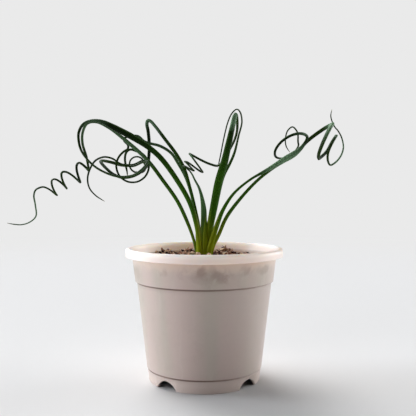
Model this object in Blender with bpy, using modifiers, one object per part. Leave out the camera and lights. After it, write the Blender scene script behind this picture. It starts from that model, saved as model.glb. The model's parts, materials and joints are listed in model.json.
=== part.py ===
"""Potted corkscrew albuca: nine curling leaves on a buried bulb, in a filled plastic nursery pot.

Units are metres with +Z up. The pot stands on Z = 0 and its axis is the Z axis of plant_frame,
which is shifted at the end so that the whole plant is centred on the world origin in X and Y.
"""
import random
from math import cos, pi, radians, sin

import bmesh
import bpy
import numpy as np
from mathutils import Matrix, Vector

MM = 0.001
CLEARANCE = 0.3 * MM

# Pot
RIM_RADIUS = 62.5 * MM
POT_HEIGHT = 103.8 * MM
LIP_DEPTH = 6.2 * MM
BAND_TOP_RADIUS = 57.3 * MM
BAND_FOOT_RADIUS = 54.9 * MM
BAND_FOOT_Z = 78.4 * MM
BODY_TOP_RADIUS = 53.6 * MM
BODY_FOOT_RADIUS = 45.7 * MM
FOOT_LINE_Z = 10.4 * MM
FOOT_TOP_RADIUS = 45.2 * MM
FOOT_RADIUS = 44.0 * MM
WALL = 1.3 * MM
FOOT_WALL = 2.2 * MM
FLOOR_UNDERSIDE_Z = 9.2 * MM
FLOOR_THICKNESS = 1.5 * MM
FLOOR_ROUND = 1.5 * MM
STEP_UNDERCUT = 0.8 * MM
STEP_INSIDE_BELOW = 1.2 * MM
STEP_INSIDE_ABOVE = 0.6 * MM
LIP_CHAMFER = 0.5 * MM
FOOT_UNDERCUT = 0.5 * MM
FOOT_CHAMFER = 0.6 * MM
POT_SIDES = 48
# Rolled edge of the lip from inside to outside: millimetres in from the rim and down from the top
LIP_EDGE = ((3.0, 1.0), (1.9, 0.1), (1.1, 0.0), (0.35, 0.4), (0.0, 1.3))

# Notches round the foot and drain holes in the floor
NOTCH_BEARINGS = (-40.5, 49.5, 139.5, 229.5)
NOTCH_WIDTH = 19.0 * MM
NOTCH_HEIGHT = 6.5 * MM
NOTCH_ROUNDNESS = 0.7
NOTCH_STEPS = 12
NOTCH_REACH = 6.0 * MM
NOTCH_BELOW = 3.0 * MM
DRAIN_RADIUS = 2.5 * MM
DRAIN_RING_RADIUS = 31.0 * MM
DRAIN_FIELD_RADIUS = 37.0 * MM
DRAIN_COUNT = 8
DRAIN_SIDES = 10

# Soil and bark
SOIL_CENTRE_Z = 97.0 * MM
SOIL_EDGE_Z = 91.0 * MM
SOIL_FLAT_RADIUS = 20.0 * MM
SOIL_FALL = 1.3
SOIL_BUMP = 0.9 * MM
# Waves of the soil in radians a millimetre: across, away and slantwise, and the slant's share
SOIL_WAVES = (0.43, 0.37, 0.23)
SOIL_WAVE_START = 1.0
SOIL_SLANT = 1.7
SOIL_SLANT_SHARE = 0.6
SOIL_STEP_ABOVE = 1.0 * MM
SOIL_STEP_BELOW = 1.6 * MM
SOIL_FOOT_RISE = 2.0 * MM
SOIL_FOOT_INSET = 2.2 * MM
SOIL_RINGS = (13, 19, 26, 33, 40, 47)
LEAF_HOLE_RADIUS = 7.4 * MM
SOIL_SIDES = 36
CHIP_COUNT = 52
CHIP_INNER_RADIUS = 14.0 * MM
CHIP_OUTER_RADIUS = 49.0 * MM
CHIP_SEED = 11
CHIP_LENGTHS = (4.0, 8.0)
CHIP_WIDTHS = (2.2, 4.0)
CHIP_HEIGHTS = (2.2, 3.4)
CHIP_LIFTS = (-0.8, 0.0)
CHIP_TILT = 0.55
CHIP_TAPER = 0.55

# Bulb
BULB_RADIUS = 15.0 * MM
BULB_NECK_RADIUS = 7.4 * MM
BULB_TOP_Z = 88.7 * MM
BULB_HEIGHT = 26.0 * MM
BULB_BELLY_SHARE = 0.58
BULB_BELLY_REACH = 0.46
BULB_TURNS = (0.18, 0.90)
BULB_STEPS = 7
BULB_PLATE_RADIUS = 3.5 * MM
BULB_SIDES = 24

# Leaves, in millimetres
LEAF_FOOT_Z = 89.0
LEAF_COLLAR_Z = 97.0
OUTER_RING = 5.5
INNER_RING = 2.5
LEAF_SIDES = 8
BLADE_THICKNESS = 3.0
COLLAR_THICKNESS = 1.7
TIP_THICKNESS = 0.85
SWELL_HEIGHT = 14.0
ROUND_BELOW = 1.5
CHANNEL_SHARE = 0.20
EDGE_SHARPNESS = 0.6
LONGEST_STEP = 8.5
TURN_PER_STEP = radians(29)


def clear_scene():
    for old in list(bpy.data.objects):
        bpy.data.objects.remove(old, do_unlink=True)


def new_collection(name):
    collection = bpy.data.collections.new(name)
    bpy.context.scene.collection.children.link(collection)
    return collection


def material(name, colour, roughness, metallic=0.0):
    made = bpy.data.materials.new(name)
    made.use_nodes = True
    shader = made.node_tree.nodes["Principled BSDF"]
    shader.inputs["Base Color"].default_value = (*colour, 1.0)
    shader.inputs["Roughness"].default_value = roughness
    shader.inputs["Metallic"].default_value = metallic
    return made


def add_object(name, mesh, collection, look=None):
    made = bpy.data.objects.new(name, mesh)
    collection.objects.link(made)
    if look:
        mesh.materials.append(look)
    return made


def mesh_from(build, name):
    mesh = bpy.data.meshes.new(name)
    edit = bmesh.new()
    build(edit)
    edit.to_mesh(mesh)
    edit.free()
    return mesh


def turned(name, profile, sides, collection, look=None):
    """Turn a profile of (radius, z) points round Z; it runs up the inside and down the outside."""
    def chain(edit):
        corners = [edit.verts.new((radius, 0, z)) for radius, z in profile]
        for one, other in zip(corners, corners[1:]):
            edit.edges.new((one, other))
    made = add_object(name, mesh_from(chain, name), collection, look)
    screw = made.modifiers.new("turn", "SCREW")
    screw.steps = sides
    screw.render_steps = sides
    screw.use_merge_vertices = True
    screw.merge_threshold = 0.00001
    return made


def make_solid(made):
    """Replace the object's mesh with its evaluated one, with doubled points welded."""
    graph = bpy.context.evaluated_depsgraph_get()
    graph.update()
    mesh = bpy.data.meshes.new_from_object(made.evaluated_get(graph), depsgraph=graph)
    made.modifiers.clear()
    made.data = mesh
    edit = bmesh.new()
    edit.from_mesh(mesh)
    bmesh.ops.remove_doubles(edit, verts=edit.verts, dist=0.00001)
    bmesh.ops.recalc_face_normals(edit, faces=edit.faces)
    edit.to_mesh(mesh)
    edit.free()
    return made


def shade_round(made, angle=35.0):
    made.data.shade_smooth()
    made.data.set_sharp_from_angle(angle=radians(angle))


def boolean(target, name, operation, objects):
    """Apply one boolean of a whole collection to the target and remove the collection's objects."""
    cutter = target.modifiers.new(name, "BOOLEAN")
    cutter.operation = operation
    cutter.operand_type = "COLLECTION"
    cutter.collection = objects
    cutter.solver = "MANIFOLD"
    make_solid(target)
    for used in list(objects.objects):
        bpy.data.objects.remove(used, do_unlink=True)


# Pot

def pot_inner_radius(z):
    """Inside radius of the pot's wall at a height."""
    if z > BAND_FOOT_Z:
        share = (z - BAND_FOOT_Z) / (POT_HEIGHT - LIP_DEPTH - BAND_FOOT_Z)
        return BAND_FOOT_RADIUS - WALL + share * (BAND_TOP_RADIUS - BAND_FOOT_RADIUS)
    share = (z - FOOT_LINE_Z) / (BAND_FOOT_Z - FOOT_LINE_Z)
    return BODY_FOOT_RADIUS - WALL + share * (BODY_TOP_RADIUS - BODY_FOOT_RADIUS)


def pot_profile():
    """Up the inside from the floor, over the lip's edge, down the outside and in under the floor."""
    floor_top = FLOOR_UNDERSIDE_Z + FLOOR_THICKNESS
    lip_foot = POT_HEIGHT - LIP_DEPTH
    inside = [
        (0.0, floor_top),
        (DRAIN_FIELD_RADIUS, floor_top),
        (pot_inner_radius(floor_top) - FLOOR_ROUND, floor_top),
        (pot_inner_radius(floor_top + FLOOR_ROUND), floor_top + FLOOR_ROUND),
        (BODY_TOP_RADIUS - WALL, BAND_FOOT_Z - STEP_INSIDE_BELOW),
        (BAND_FOOT_RADIUS - WALL, BAND_FOOT_Z + STEP_INSIDE_ABOVE),
        (BAND_TOP_RADIUS - WALL, lip_foot - WALL),
        (BAND_TOP_RADIUS + 0.5 * WALL, lip_foot + WALL),
    ]
    edge = [(RIM_RADIUS - inward * MM, POT_HEIGHT - down * MM) for inward, down in LIP_EDGE]
    outside = [
        (RIM_RADIUS, lip_foot + LIP_CHAMFER),
        (RIM_RADIUS - LIP_CHAMFER, lip_foot),
        (BAND_TOP_RADIUS, lip_foot),
        (BAND_FOOT_RADIUS, BAND_FOOT_Z),
        (BODY_TOP_RADIUS, BAND_FOOT_Z - STEP_UNDERCUT),
        (BODY_FOOT_RADIUS, FOOT_LINE_Z),
        (FOOT_TOP_RADIUS, FOOT_LINE_Z - FOOT_UNDERCUT),
        (FOOT_RADIUS, FOOT_CHAMFER),
        (FOOT_RADIUS - FOOT_CHAMFER, 0.0),
        (FOOT_RADIUS - FOOT_WALL, 0.0),
        (FOOT_TOP_RADIUS - FOOT_WALL, FLOOR_UNDERSIDE_Z),
        (DRAIN_FIELD_RADIUS, FLOOR_UNDERSIDE_Z),
        (0.0, FLOOR_UNDERSIDE_Z),
    ]
    return inside + edge + outside


def add_notch_cutter(bearing, collection):
    """A round-topped arch, drawn in XZ and pushed through the foot ring at the bearing."""
    curve = bpy.data.curves.new("notch_outline", "CURVE")
    curve.dimensions = "2D"
    curve.fill_mode = "BOTH"
    curve.extrude = NOTCH_REACH
    outline = [(-NOTCH_WIDTH / 2, -NOTCH_BELOW), (NOTCH_WIDTH / 2, -NOTCH_BELOW)]
    for step in range(NOTCH_STEPS + 1):
        turn = pi * step / NOTCH_STEPS
        height = NOTCH_HEIGHT * abs(sin(turn)) ** (2 * NOTCH_ROUNDNESS)
        outline.append((cos(turn) * NOTCH_WIDTH / 2, height))
    spline = curve.splines.new("POLY")
    spline.points.add(len(outline) - 1)
    for point, (across, up) in zip(spline.points, outline):
        point.co = (across, up, 0.0, 1.0)
    spline.use_cyclic_u = True
    drawn = bpy.data.objects.new("notch_drawing", curve)
    collection.objects.link(drawn)
    upright = Matrix.Rotation(radians(90), 4, "X")
    outward = Matrix.Rotation(radians(bearing + 90), 4, "Z")
    place = Matrix.Translation(Vector((cos(radians(bearing)), sin(radians(bearing)), 0)) * FOOT_RADIUS)
    graph = bpy.context.evaluated_depsgraph_get()
    mesh = bpy.data.meshes.new_from_object(drawn.evaluated_get(graph), depsgraph=graph)
    bpy.data.objects.remove(drawn, do_unlink=True)
    edit = bmesh.new()
    edit.from_mesh(mesh)
    bmesh.ops.remove_doubles(edit, verts=edit.verts, dist=0.000001)
    bmesh.ops.recalc_face_normals(edit, faces=edit.faces)
    edit.to_mesh(mesh)
    edit.free()
    mesh.transform(place @ outward @ upright)
    mark_cutter(add_object("notch_cutter", mesh, collection))


def add_drain_cutter(bearing, collection):
    def pin(edit):
        bmesh.ops.create_cone(edit, cap_ends=True, segments=DRAIN_SIDES, radius1=DRAIN_RADIUS,
                              radius2=DRAIN_RADIUS, depth=3 * FLOOR_THICKNESS)
    mesh = mesh_from(pin, "drain_cutter")
    centre = Vector((cos(radians(bearing)) * DRAIN_RING_RADIUS,
                     sin(radians(bearing)) * DRAIN_RING_RADIUS,
                     FLOOR_UNDERSIDE_Z + FLOOR_THICKNESS / 2))
    mesh.transform(Matrix.Translation(centre))
    mark_cutter(add_object("drain_cutter", mesh, collection))


def mark_cutter(made):
    made.hide_render = True
    made.display_type = "WIRE"


def add_pot(parts, cutters):
    look = material("pot_plastic", (0.56, 0.49, 0.45), 0.45)
    pot = turned("pot", pot_profile(), POT_SIDES, parts, look)
    make_solid(pot)
    for bearing in NOTCH_BEARINGS:
        add_notch_cutter(bearing, cutters)
    for hole in range(DRAIN_COUNT):
        add_drain_cutter(NOTCH_BEARINGS[0] + hole * 360 / DRAIN_COUNT, cutters)
    boolean(pot, "foot and drains", "DIFFERENCE", cutters)
    shade_round(pot)
    return pot


# Bulb

def bulb_profile(grow=0.0):
    """Neck, shoulder and round belly down to the basal plate, grown outward by an amount."""
    low = BULB_TOP_Z - BULB_HEIGHT
    belly_z = BULB_TOP_Z - BULB_BELLY_SHARE * BULB_HEIGHT
    first, last = BULB_TURNS
    points = [(BULB_NECK_RADIUS + grow, BULB_TOP_Z)]
    for step in range(1, BULB_STEPS + 1):
        turn = pi * (first + (last - first) * step / BULB_STEPS)
        radius = BULB_RADIUS * sin(turn)
        height = belly_z + cos(turn) * BULB_HEIGHT * BULB_BELLY_REACH
        points.append((radius + grow * sin(turn), height + grow * cos(turn)))
    points.append((BULB_PLATE_RADIUS + grow, low - grow))
    return points


def add_bulb(parts):
    look = material("bulb_skin", (0.62, 0.55, 0.40), 0.6)
    body = bulb_profile()
    profile = [(0.0, BULB_TOP_Z)] + body + [(0.0, body[-1][1])]
    bulb = turned("bulb", profile, BULB_SIDES, parts, look)
    make_solid(bulb)
    shade_round(bulb)
    return bulb


# Soil

def soil_level(radius):
    """Height of the soil before its bumps: level in the middle and falling towards the wall."""
    edge = pot_inner_radius(SOIL_EDGE_Z)
    share = max(0.0, (radius - SOIL_FLAT_RADIUS) / (edge - SOIL_FLAT_RADIUS))
    return SOIL_CENTRE_Z - (SOIL_CENTRE_Z - SOIL_EDGE_Z) * share ** SOIL_FALL


def soil_bump(x, y):
    """Two crossing waves a few centimetres long, added to the soil's level."""
    along, away, slant = SOIL_WAVES
    crossed = sin(x / MM * along + SOIL_WAVE_START) * cos(y / MM * away)
    return SOIL_BUMP * (crossed + SOIL_SLANT_SHARE * sin((x + SOIL_SLANT * y) / MM * slant))


def soil_profile():
    """Up the cavity round the bulb, out along the top, down the wall and back along the floor."""
    floor = FLOOR_UNDERSIDE_Z + FLOOR_THICKNESS + CLEARANCE
    cavity = bulb_profile(CLEARANCE)
    cavity = [(0.0, cavity[-1][1])] + cavity[::-1]
    hole = [(LEAF_HOLE_RADIUS, BULB_TOP_Z + CLEARANCE), (LEAF_HOLE_RADIUS, SOIL_CENTRE_Z)]
    top = [(radius * MM, soil_level(radius * MM)) for radius in SOIL_RINGS]
    edge = pot_inner_radius(SOIL_EDGE_Z) - CLEARANCE
    wall = [
        (edge, SOIL_EDGE_Z),
        (BAND_FOOT_RADIUS - WALL - 1.2 * CLEARANCE, BAND_FOOT_Z + SOIL_STEP_ABOVE),
        (BODY_TOP_RADIUS - WALL - 1.6 * CLEARANCE, BAND_FOOT_Z - SOIL_STEP_BELOW),
        (pot_inner_radius(floor + SOIL_FOOT_RISE) - 1.2 * CLEARANCE, floor + SOIL_FOOT_RISE),
        (pot_inner_radius(floor) - SOIL_FOOT_INSET, floor),
        (0.0, floor),
    ]
    return cavity + hole + top + wall


def add_chip(centre, length, width, height, spin, tilt, collection):
    """One splinter of bark: a box narrowed to one end, tilted and half sunk in the soil."""
    def splinter(edit):
        bmesh.ops.create_cube(edit, size=1.0)
        for corner in edit.verts:
            slim = CHIP_TAPER if corner.co.x > 0 else 1.0
            corner.co.x *= length
            corner.co.y *= width * slim
            corner.co.z *= height * slim
    mesh = mesh_from(splinter, "bark_chip")
    turn = Matrix.Rotation(spin, 4, "Z") @ Matrix.Rotation(tilt, 4, "Y")
    mesh.transform(Matrix.Translation(centre) @ turn)
    mark_cutter(add_object("bark_chip", mesh, collection))


def scatter_chips(collection):
    """Chips laid outward on a sunflower spiral, with a seeded draw for size and lie."""
    draw = random.Random(CHIP_SEED)
    golden = pi * (3 - 5 ** 0.5)
    for index in range(CHIP_COUNT):
        share = (index + 0.5) / CHIP_COUNT
        radius = (CHIP_INNER_RADIUS ** 2 + share * (CHIP_OUTER_RADIUS ** 2 - CHIP_INNER_RADIUS ** 2)) ** 0.5
        bearing = index * golden
        x = radius * cos(bearing)
        y = radius * sin(bearing)
        lift = draw.uniform(*CHIP_LIFTS) * MM
        centre = Vector((x, y, soil_level(radius) + soil_bump(x, y) + lift))
        length = draw.uniform(*CHIP_LENGTHS) * MM
        width = draw.uniform(*CHIP_WIDTHS) * MM
        height = draw.uniform(*CHIP_HEIGHTS) * MM
        spin = draw.uniform(0, 2 * pi)
        tilt = draw.uniform(-CHIP_TILT, CHIP_TILT)
        add_chip(centre, length, width, height, spin, tilt, collection)


def add_soil(parts, chips):
    look = material("soil", (0.12, 0.06, 0.035), 0.95)
    soil = turned("soil_with_bark", soil_profile(), SOIL_SIDES, parts, look)
    make_solid(soil)
    edge = pot_inner_radius(SOIL_EDGE_Z)
    for corner in soil.data.vertices:
        x, y, z = corner.co
        radius = (x * x + y * y) ** 0.5
        if LEAF_HOLE_RADIUS + 1 * MM < radius < edge - 1 * MM and z > SOIL_EDGE_Z:
            corner.co.z += soil_bump(x, y)
    scatter_chips(chips)
    boolean(soil, "bark", "UNION", chips)
    return soil


# Leaf routes, in millimetres from the foot of the pot's axis

def seat(ring, bearing):
    """The two lowest points of a leaf: its foot on the bulb and its collar at the soil's surface."""
    x = ring * cos(radians(bearing))
    y = ring * sin(radians(bearing))
    return [(x, y, LEAF_FOOT_Z), (x, y, LEAF_COLLAR_Z)]


def coil(turning_points, axis, hand):
    """Half turns of a helix that swing from each turning point to the next round the axis."""
    axis = np.array(axis, float)
    axis /= np.linalg.norm(axis)
    corners = [np.array(point, float) for point in turning_points]
    points = [corners[0]]
    for start, end in zip(corners, corners[1:]):
        step = end - start
        along = axis * step.dot(axis)
        across = step - along
        deep = 0.5 * hand * np.cross(axis, across)
        for part in range(1, 6):
            turn = pi * part / 5
            points.append(start + across * (1 - cos(turn)) / 2 + along * turn / pi + deep * sin(turn))
    return [tuple(point) for point in points]


def long_left_route():
    stem = seat(OUTER_RING, 180) + [
        (-8.5, 1, 111), (-15.5, 2.5, 129.5), (-22, 3, 142.5), (-32.5, 2.5, 157.5), (-45, 1.5, 174),
        (-59.5, 0.5, 187.4), (-76, 0, 199.8), (-86, 0, 204.4), (-93.2, 0, 203.2), (-96.9, 0, 196),
        (-97.2, 1, 187), (-94.6, 3, 177)]
    turns = coil([(-93.6, 8, 166), (-102, 10, 172.4), (-101, 10, 156.5), (-115, 10, 165), (-112, 10, 151.5),
                  (-123, 10, 159), (-120, 10, 146), (-133, 10, 152.5)], (-0.83, 0.07, -0.52), 1)
    tail = [(-136.8, 8.5, 150.4), (-138, 7, 146), (-137, 7.5, 138), (-137, 9, 129), (-142.5, 10, 124),
            (-149, 10, 122), (-155, 10, 122.3), (-161, 10, 123.3)]
    return stem + turns + tail


def arched_left_route():
    stem = seat(OUTER_RING, 235) + [
        (-4, -6, 108), (-6, -6.5, 122), (-11, -6.5, 139), (-19, -6.5, 154), (-33.5, -7, 174.5),
        (-43.5, -8, 183.5), (-57, -9, 191.9), (-69, -11, 198.2), (-79, -12, 203.1), (-86, -13, 204),
        (-93, -14, 201.5), (-96.5, -16, 195), (-96.3, -18, 188), (-93.6, -21, 180)]
    loop = [(-85.5, -27, 170.5), (-75.5, -33, 164), (-63.5, -36, 160), (-53, -33, 161), (-46, -27, 166.5),
            (-43.5, -19, 172), (-48, -9, 172), (-57, -4, 169), (-66.5, -4.5, 171), (-72, -7, 174.8),
            (-78, -10, 176), (-84, -15, 173), (-87.5, -20, 166), (-88.5, -24, 158.5), (-86.5, -27, 151.5),
            (-81.5, -29, 146), (-74.5, -30, 141.5)]
    return stem + loop


def high_left_route():
    stem = seat(INNER_RING, 200) + [
        (-3, -0.8, 110), (-4, -0.6, 120), (-7.5, 0.8, 136.5), (-11.5, 4, 152), (-16, 7, 167),
        (-22.5, 10, 179), (-31.5, 15, 191), (-41, 20, 203.4), (-44.5, 21, 207.2), (-46.9, 21.7, 208),
        (-47.8, 22, 205), (-46.9, 22, 200), (-46, 22, 191), (-46, 21, 180)]
    loop = [(-47, 18, 171.5), (-51.5, 9, 165), (-58.5, 2.5, 161), (-66, 0, 160.3), (-73, 2, 163),
            (-80, 8, 168.3), (-85.3, 16, 173.5), (-85, 25, 174.8), (-79, 31, 173.8), (-70, 33, 171.5),
            (-60, 32, 171.5), (-51, 30, 175)]
    small = coil([(-49.5, 29, 172), (-63, 27, 171.5), (-50.5, 25, 172.5), (-57, 24.5, 166)], (0, 1, 0), -1)
    return stem + loop + small


def back_left_route():
    stem = seat(OUTER_RING, 118) + [
        (-4.3, 7.2, 110), (-8.5, 10.5, 138), (-15, 13.5, 160), (-21.5, 14.5, 172), (-27, 14, 180.3),
        (-36, 11, 186), (-44, 8.5, 188), (-48.5, 7.5, 189.5), (-53.5, 6.5, 193.6), (-58.8, 6, 193.7),
        (-63.4, 5.5, 192.6), (-64.6, 5, 190.2), (-61.3, 5, 186.2), (-61.8, 5.5, 183.2), (-65, 6, 181.2),
        (-69.3, 6.6, 176.5)]
    turns = coil([(-71.2, 7, 169.5), (-45, 8.5, 169.5)], (0, 1, 0), 1)
    tail = [(-48.5, 9.5, 178), (-55.7, 10.5, 182), (-60.5, 11, 183.2), (-63.6, 11.5, 181), (-64.8, 12, 176.3),
            (-64.2, 12, 170.6), (-63.1, 12, 165), (-62.8, 12, 161)]
    return stem + turns + tail


def short_centre_route():
    return seat(INNER_RING, 80) + [
        (0, 5, 110), (-0.3, 9, 121), (-0.7, 14, 136.5), (-4, 19, 151), (-8, 22.5, 158.7),
        (-11, 25, 164.5), (-15, 27, 169), (-18, 28, 171)]


def tall_centre_route():
    stem = seat(INNER_RING, 300) + [
        (2.5, -3, 107), (6, -4, 127.5), (9.3, -5.5, 145), (12, -7, 158), (15.8, -8, 171),
        (19.1, -10, 185.6), (22.1, -11, 199), (24, -9.5, 207.5), (25.3, -5, 209.5), (26.2, -1, 205),
        (26.2, 1, 198), (24.5, 2, 191), (20, 2.5, 182), (15.5, 2.5, 174), (10.8, 2.8, 169.8),
        (4.8, 3.5, 171), (-2.5, 3, 174.2)]
    turns = coil([(-11.3, -1, 178.8), (-1.3, -1, 164.6), (-15.3, -3, 172.7), (-8, -3, 165.6),
                  (-16.7, -4, 169.2), (-9.6, -4, 163.9)], (-0.7, 0, -0.55), 1)
    return stem + turns


def thin_centre_route():
    return seat(OUTER_RING, 57) + [
        (4, 7, 110), (9, 10, 134), (15.5, 12.5, 161), (21, 14, 172), (24.7, 15, 180.7),
        (28.2, 16, 195), (30.8, 15, 206), (29.3, 12, 213.5), (26.2, 8, 215.5), (22.1, 5, 211.7),
        (18.9, 4.5, 204.5), (16, 6, 193), (13, 8, 177.7), (11, 9, 168.4)]


def upper_right_route():
    stem = seat(OUTER_RING, 302) + [
        (5, -5.8, 106), (10, -6.5, 122), (15, -7.5, 134.8), (23, -9.5, 147.2), (35.5, -12, 158),
        (49.1, -13, 165.8), (61.2, -13, 173), (71.2, -12, 178.9), (77.5, -11, 185.2)]
    turns = coil([(80.2, -12, 191.2), (56, -8, 176.5), (73, -12, 188)], (-0.43, 0.55, 0.7), 1)
    last = [(72.7, -11, 195), (69, -9.5, 199.5), (65.3, -8.5, 196.5), (63.7, -8, 190), (64.3, -8, 184.5),
            (67.3, -8.5, 179.5)]
    return stem + turns + last


def outer_right_route():
    stem = seat(OUTER_RING, 0) + [
        (7.4, 0.5, 106), (11.7, 2, 115.2), (17.4, 3, 128), (27.7, 4, 142), (43, 6, 158.3),
        (55, 7, 167.7), (73.2, 9, 179.3), (84.1, 12, 190.5), (94.8, 13.5, 198.6), (100.8, 12.6, 202.4)]
    fall = coil([(103.5, 10, 203.6), (93.4, 12, 175.9)], (0.84, -0.21, -0.51), -1)
    rise = [(96.8, 16.5, 178), (100.2, 19.5, 180.8), (102.9, 21, 184.2), (105.4, 21, 189), (107.3, 18, 192.8),
            (107.9, 13, 194.7)]
    last = [(106.1, 8, 192.9), (103.2, 5, 188.6), (101.1, 4, 184.5), (99.8, 5, 180.5), (99.9, 8, 176.6),
            (101.3, 12, 172.8), (103.6, 15, 170.7)]
    tail = [(107.6, 17.5, 172.6), (111.8, 20, 176.5), (114.7, 22, 181.2), (115.9, 23, 186.6),
            (114.2, 22, 193.7), (111, 20, 198.9), (107, 17.5, 203), (103.9, 16, 210.8), (104.8, 16, 216.6)]
    return stem + fall + rise + last + tail


# Name, route, colour, plumpness and blade widths in millimetres at shares of the length
LEAVES = (
    ("leaf_long_left", long_left_route, (0.10, 0.19, 0.03), 0.72,
     ((0.0, 4.3), (0.05, 2.9), (0.08, 3.4), (0.15, 4.7), (0.24, 5.0), (0.29, 4.4), (0.34, 2.6), (0.45, 2.4),
      (0.55, 1.9), (0.85, 1.5), (1.0, 0.85))),
    ("leaf_arched_left", arched_left_route, (0.08, 0.17, 0.03), 0.50,
     ((0.0, 4.5), (0.05, 4.2), (0.12, 4.0), (0.2, 4.2), (0.3, 4.6), (0.35, 5.4), (0.385, 5.0),
      (0.43, 2.4), (0.55, 2.0), (0.62, 2.3), (0.78, 2.3), (0.86, 1.7), (0.95, 1.2), (1.0, 0.85))),
    ("leaf_high_left", high_left_route, (0.10, 0.20, 0.04), 0.65,
     ((0.0, 3.4), (0.12, 3.0), (0.24, 3.3), (0.34, 3.2), (0.42, 2.8), (0.6, 2.3), (0.68, 2.5), (0.76, 3.2),
      (0.8, 2.9), (0.87, 1.9), (1.0, 1.2))),
    ("leaf_back_left", back_left_route, (0.09, 0.18, 0.04), 0.55,
     ((0.0, 4.0), (0.1, 2.9), (0.15, 2.5), (0.4, 2.4), (0.55, 1.9), (0.75, 1.5), (0.85, 1.9),
      (0.95, 1.9), (1.0, 1.3))),
    ("leaf_short_centre", short_centre_route, (0.12, 0.23, 0.07), 0.40,
     ((0.0, 3.6), (0.3, 5.3), (0.5, 4.7), (0.65, 2.7), (0.75, 1.9), (0.85, 1.5), (1.0, 0.85))),
    ("leaf_tall_centre", tall_centre_route, (0.10, 0.20, 0.03), 0.45,
     ((0.0, 3.6), (0.1, 5.9), (0.16, 6.3), (0.22, 7.0), (0.27, 6.8), (0.31, 5.8), (0.41, 4.0), (0.48, 2.7),
      (0.65, 2.3), (0.85, 1.7), (1.0, 0.85))),
    ("leaf_thin_centre", thin_centre_route, (0.09, 0.19, 0.04), 0.55,
     ((0.0, 4.3), (0.2, 3.2), (0.4, 2.6), (0.5, 2.2), (0.58, 1.6), (0.65, 1.3), (0.8, 1.15), (1.0, 0.95))),
    ("leaf_upper_right", upper_right_route, (0.11, 0.21, 0.04), 0.55,
     ((0.0, 4.5), (0.1, 4.6), (0.2, 2.9), (0.25, 2.3), (0.3, 1.9), (0.34, 2.0), (0.39, 3.2), (0.42, 4.0),
      (0.45, 5.4), (0.475, 5.2), (0.5, 3.6), (0.53, 2.4), (0.7, 1.9), (0.85, 1.4), (1.0, 0.85))),
    ("leaf_outer_right", outer_right_route, (0.09, 0.18, 0.04), 0.75,
     ((0.0, 4.3), (0.12, 3.9), (0.2, 3.2), (0.3, 2.9), (0.38, 3.2), (0.43, 4.2), (0.47, 4.2), (0.53, 3.1),
      (0.6, 2.7), (0.7, 2.5), (0.8, 1.8), (0.9, 1.2), (1.0, 0.85))),
)


def smooth_curve(points, fine=12):
    """Centripetal Catmull-Rom curve through the points."""
    route = np.array(points, float)
    route = np.vstack([2 * route[0] - route[1], route, 2 * route[-1] - route[-2]])
    curve = []
    for first in range(len(route) - 3):
        p0, p1, p2, p3 = route[first:first + 4]
        t1 = np.linalg.norm(p1 - p0) ** 0.5
        t2 = t1 + np.linalg.norm(p2 - p1) ** 0.5
        t3 = t2 + np.linalg.norm(p3 - p2) ** 0.5
        for t in np.linspace(t1, t2, fine, endpoint=False):
            a1 = (t1 - t) / t1 * p0 + t / t1 * p1
            a2 = (t2 - t) / (t2 - t1) * p1 + (t - t1) / (t2 - t1) * p2
            a3 = (t3 - t) / (t3 - t2) * p2 + (t - t2) / (t3 - t2) * p3
            b1 = (t2 - t) / t2 * a1 + t / t2 * a2
            b2 = (t3 - t) / (t3 - t1) * a2 + (t - t1) / (t3 - t1) * a3
            curve.append((t2 - t) / (t2 - t1) * b1 + (t - t1) / (t2 - t1) * b2)
    curve.append(route[-2])
    return np.array(curve)


def stations(curve):
    """Places along the curve, closer where it turns sharply, with each one's share of the length."""
    steps = np.diff(curve, axis=0)
    lengths = np.linalg.norm(steps, axis=1)
    ways = steps / lengths[:, None]
    travelled = np.concatenate([[0.0], np.cumsum(lengths)])
    kept = [0]
    turned_by = 0.0
    for index in range(1, len(curve) - 1):
        bend = np.clip(ways[index - 1].dot(ways[index]), -1.0, 1.0)
        turned_by += float(np.arccos(bend))
        far = travelled[index] - travelled[kept[-1]]
        if turned_by > TURN_PER_STEP or far > LONGEST_STEP:
            kept.append(index)
            turned_by = 0.0
    kept.append(len(curve) - 1)
    return curve[kept], travelled[kept] / travelled[-1]


def blade_frames(places, facing):
    """Way along the blade and the way its channelled face looks, carried along without spin."""
    ways = np.gradient(places, axis=0)
    ways /= np.linalg.norm(ways, axis=1)[:, None]
    faces = []
    face = np.array(facing, float)
    for way in ways:
        face = face - way * face.dot(way)
        face /= np.linalg.norm(face)
        faces.append(face)
    return ways, np.array(faces)


def blade_thickness(width, plumpness, height):
    """Thickness from the width, held down where the leaves stand close together at the soil."""
    swell = min(1.0, max(0.0, (height - LEAF_COLLAR_Z) / SWELL_HEIGHT))
    most = COLLAR_THICKNESS + (BLADE_THICKNESS - COLLAR_THICKNESS) * swell
    return min(most, TIP_THICKNESS + plumpness * (width - TIP_THICKNESS))


def blade_ring(place, way, face, width, thick):
    """Corners of a crescent section that closes to a round one where the blade is narrow."""
    across = np.cross(way, face)
    channel = CHANNEL_SHARE * max(0.0, width - ROUND_BELOW)
    ring = []
    for corner in range(LEAF_SIDES):
        turn = 2 * pi * (corner + 0.5) / LEAF_SIDES
        side = cos(turn)
        bulge = 0.5 * thick * np.sign(sin(turn)) * abs(sin(turn)) ** EDGE_SHARPNESS
        lift = bulge + channel * (side * side - 0.5)
        ring.append(place + across * side * width / 2 + face * lift)
    return ring


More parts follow.
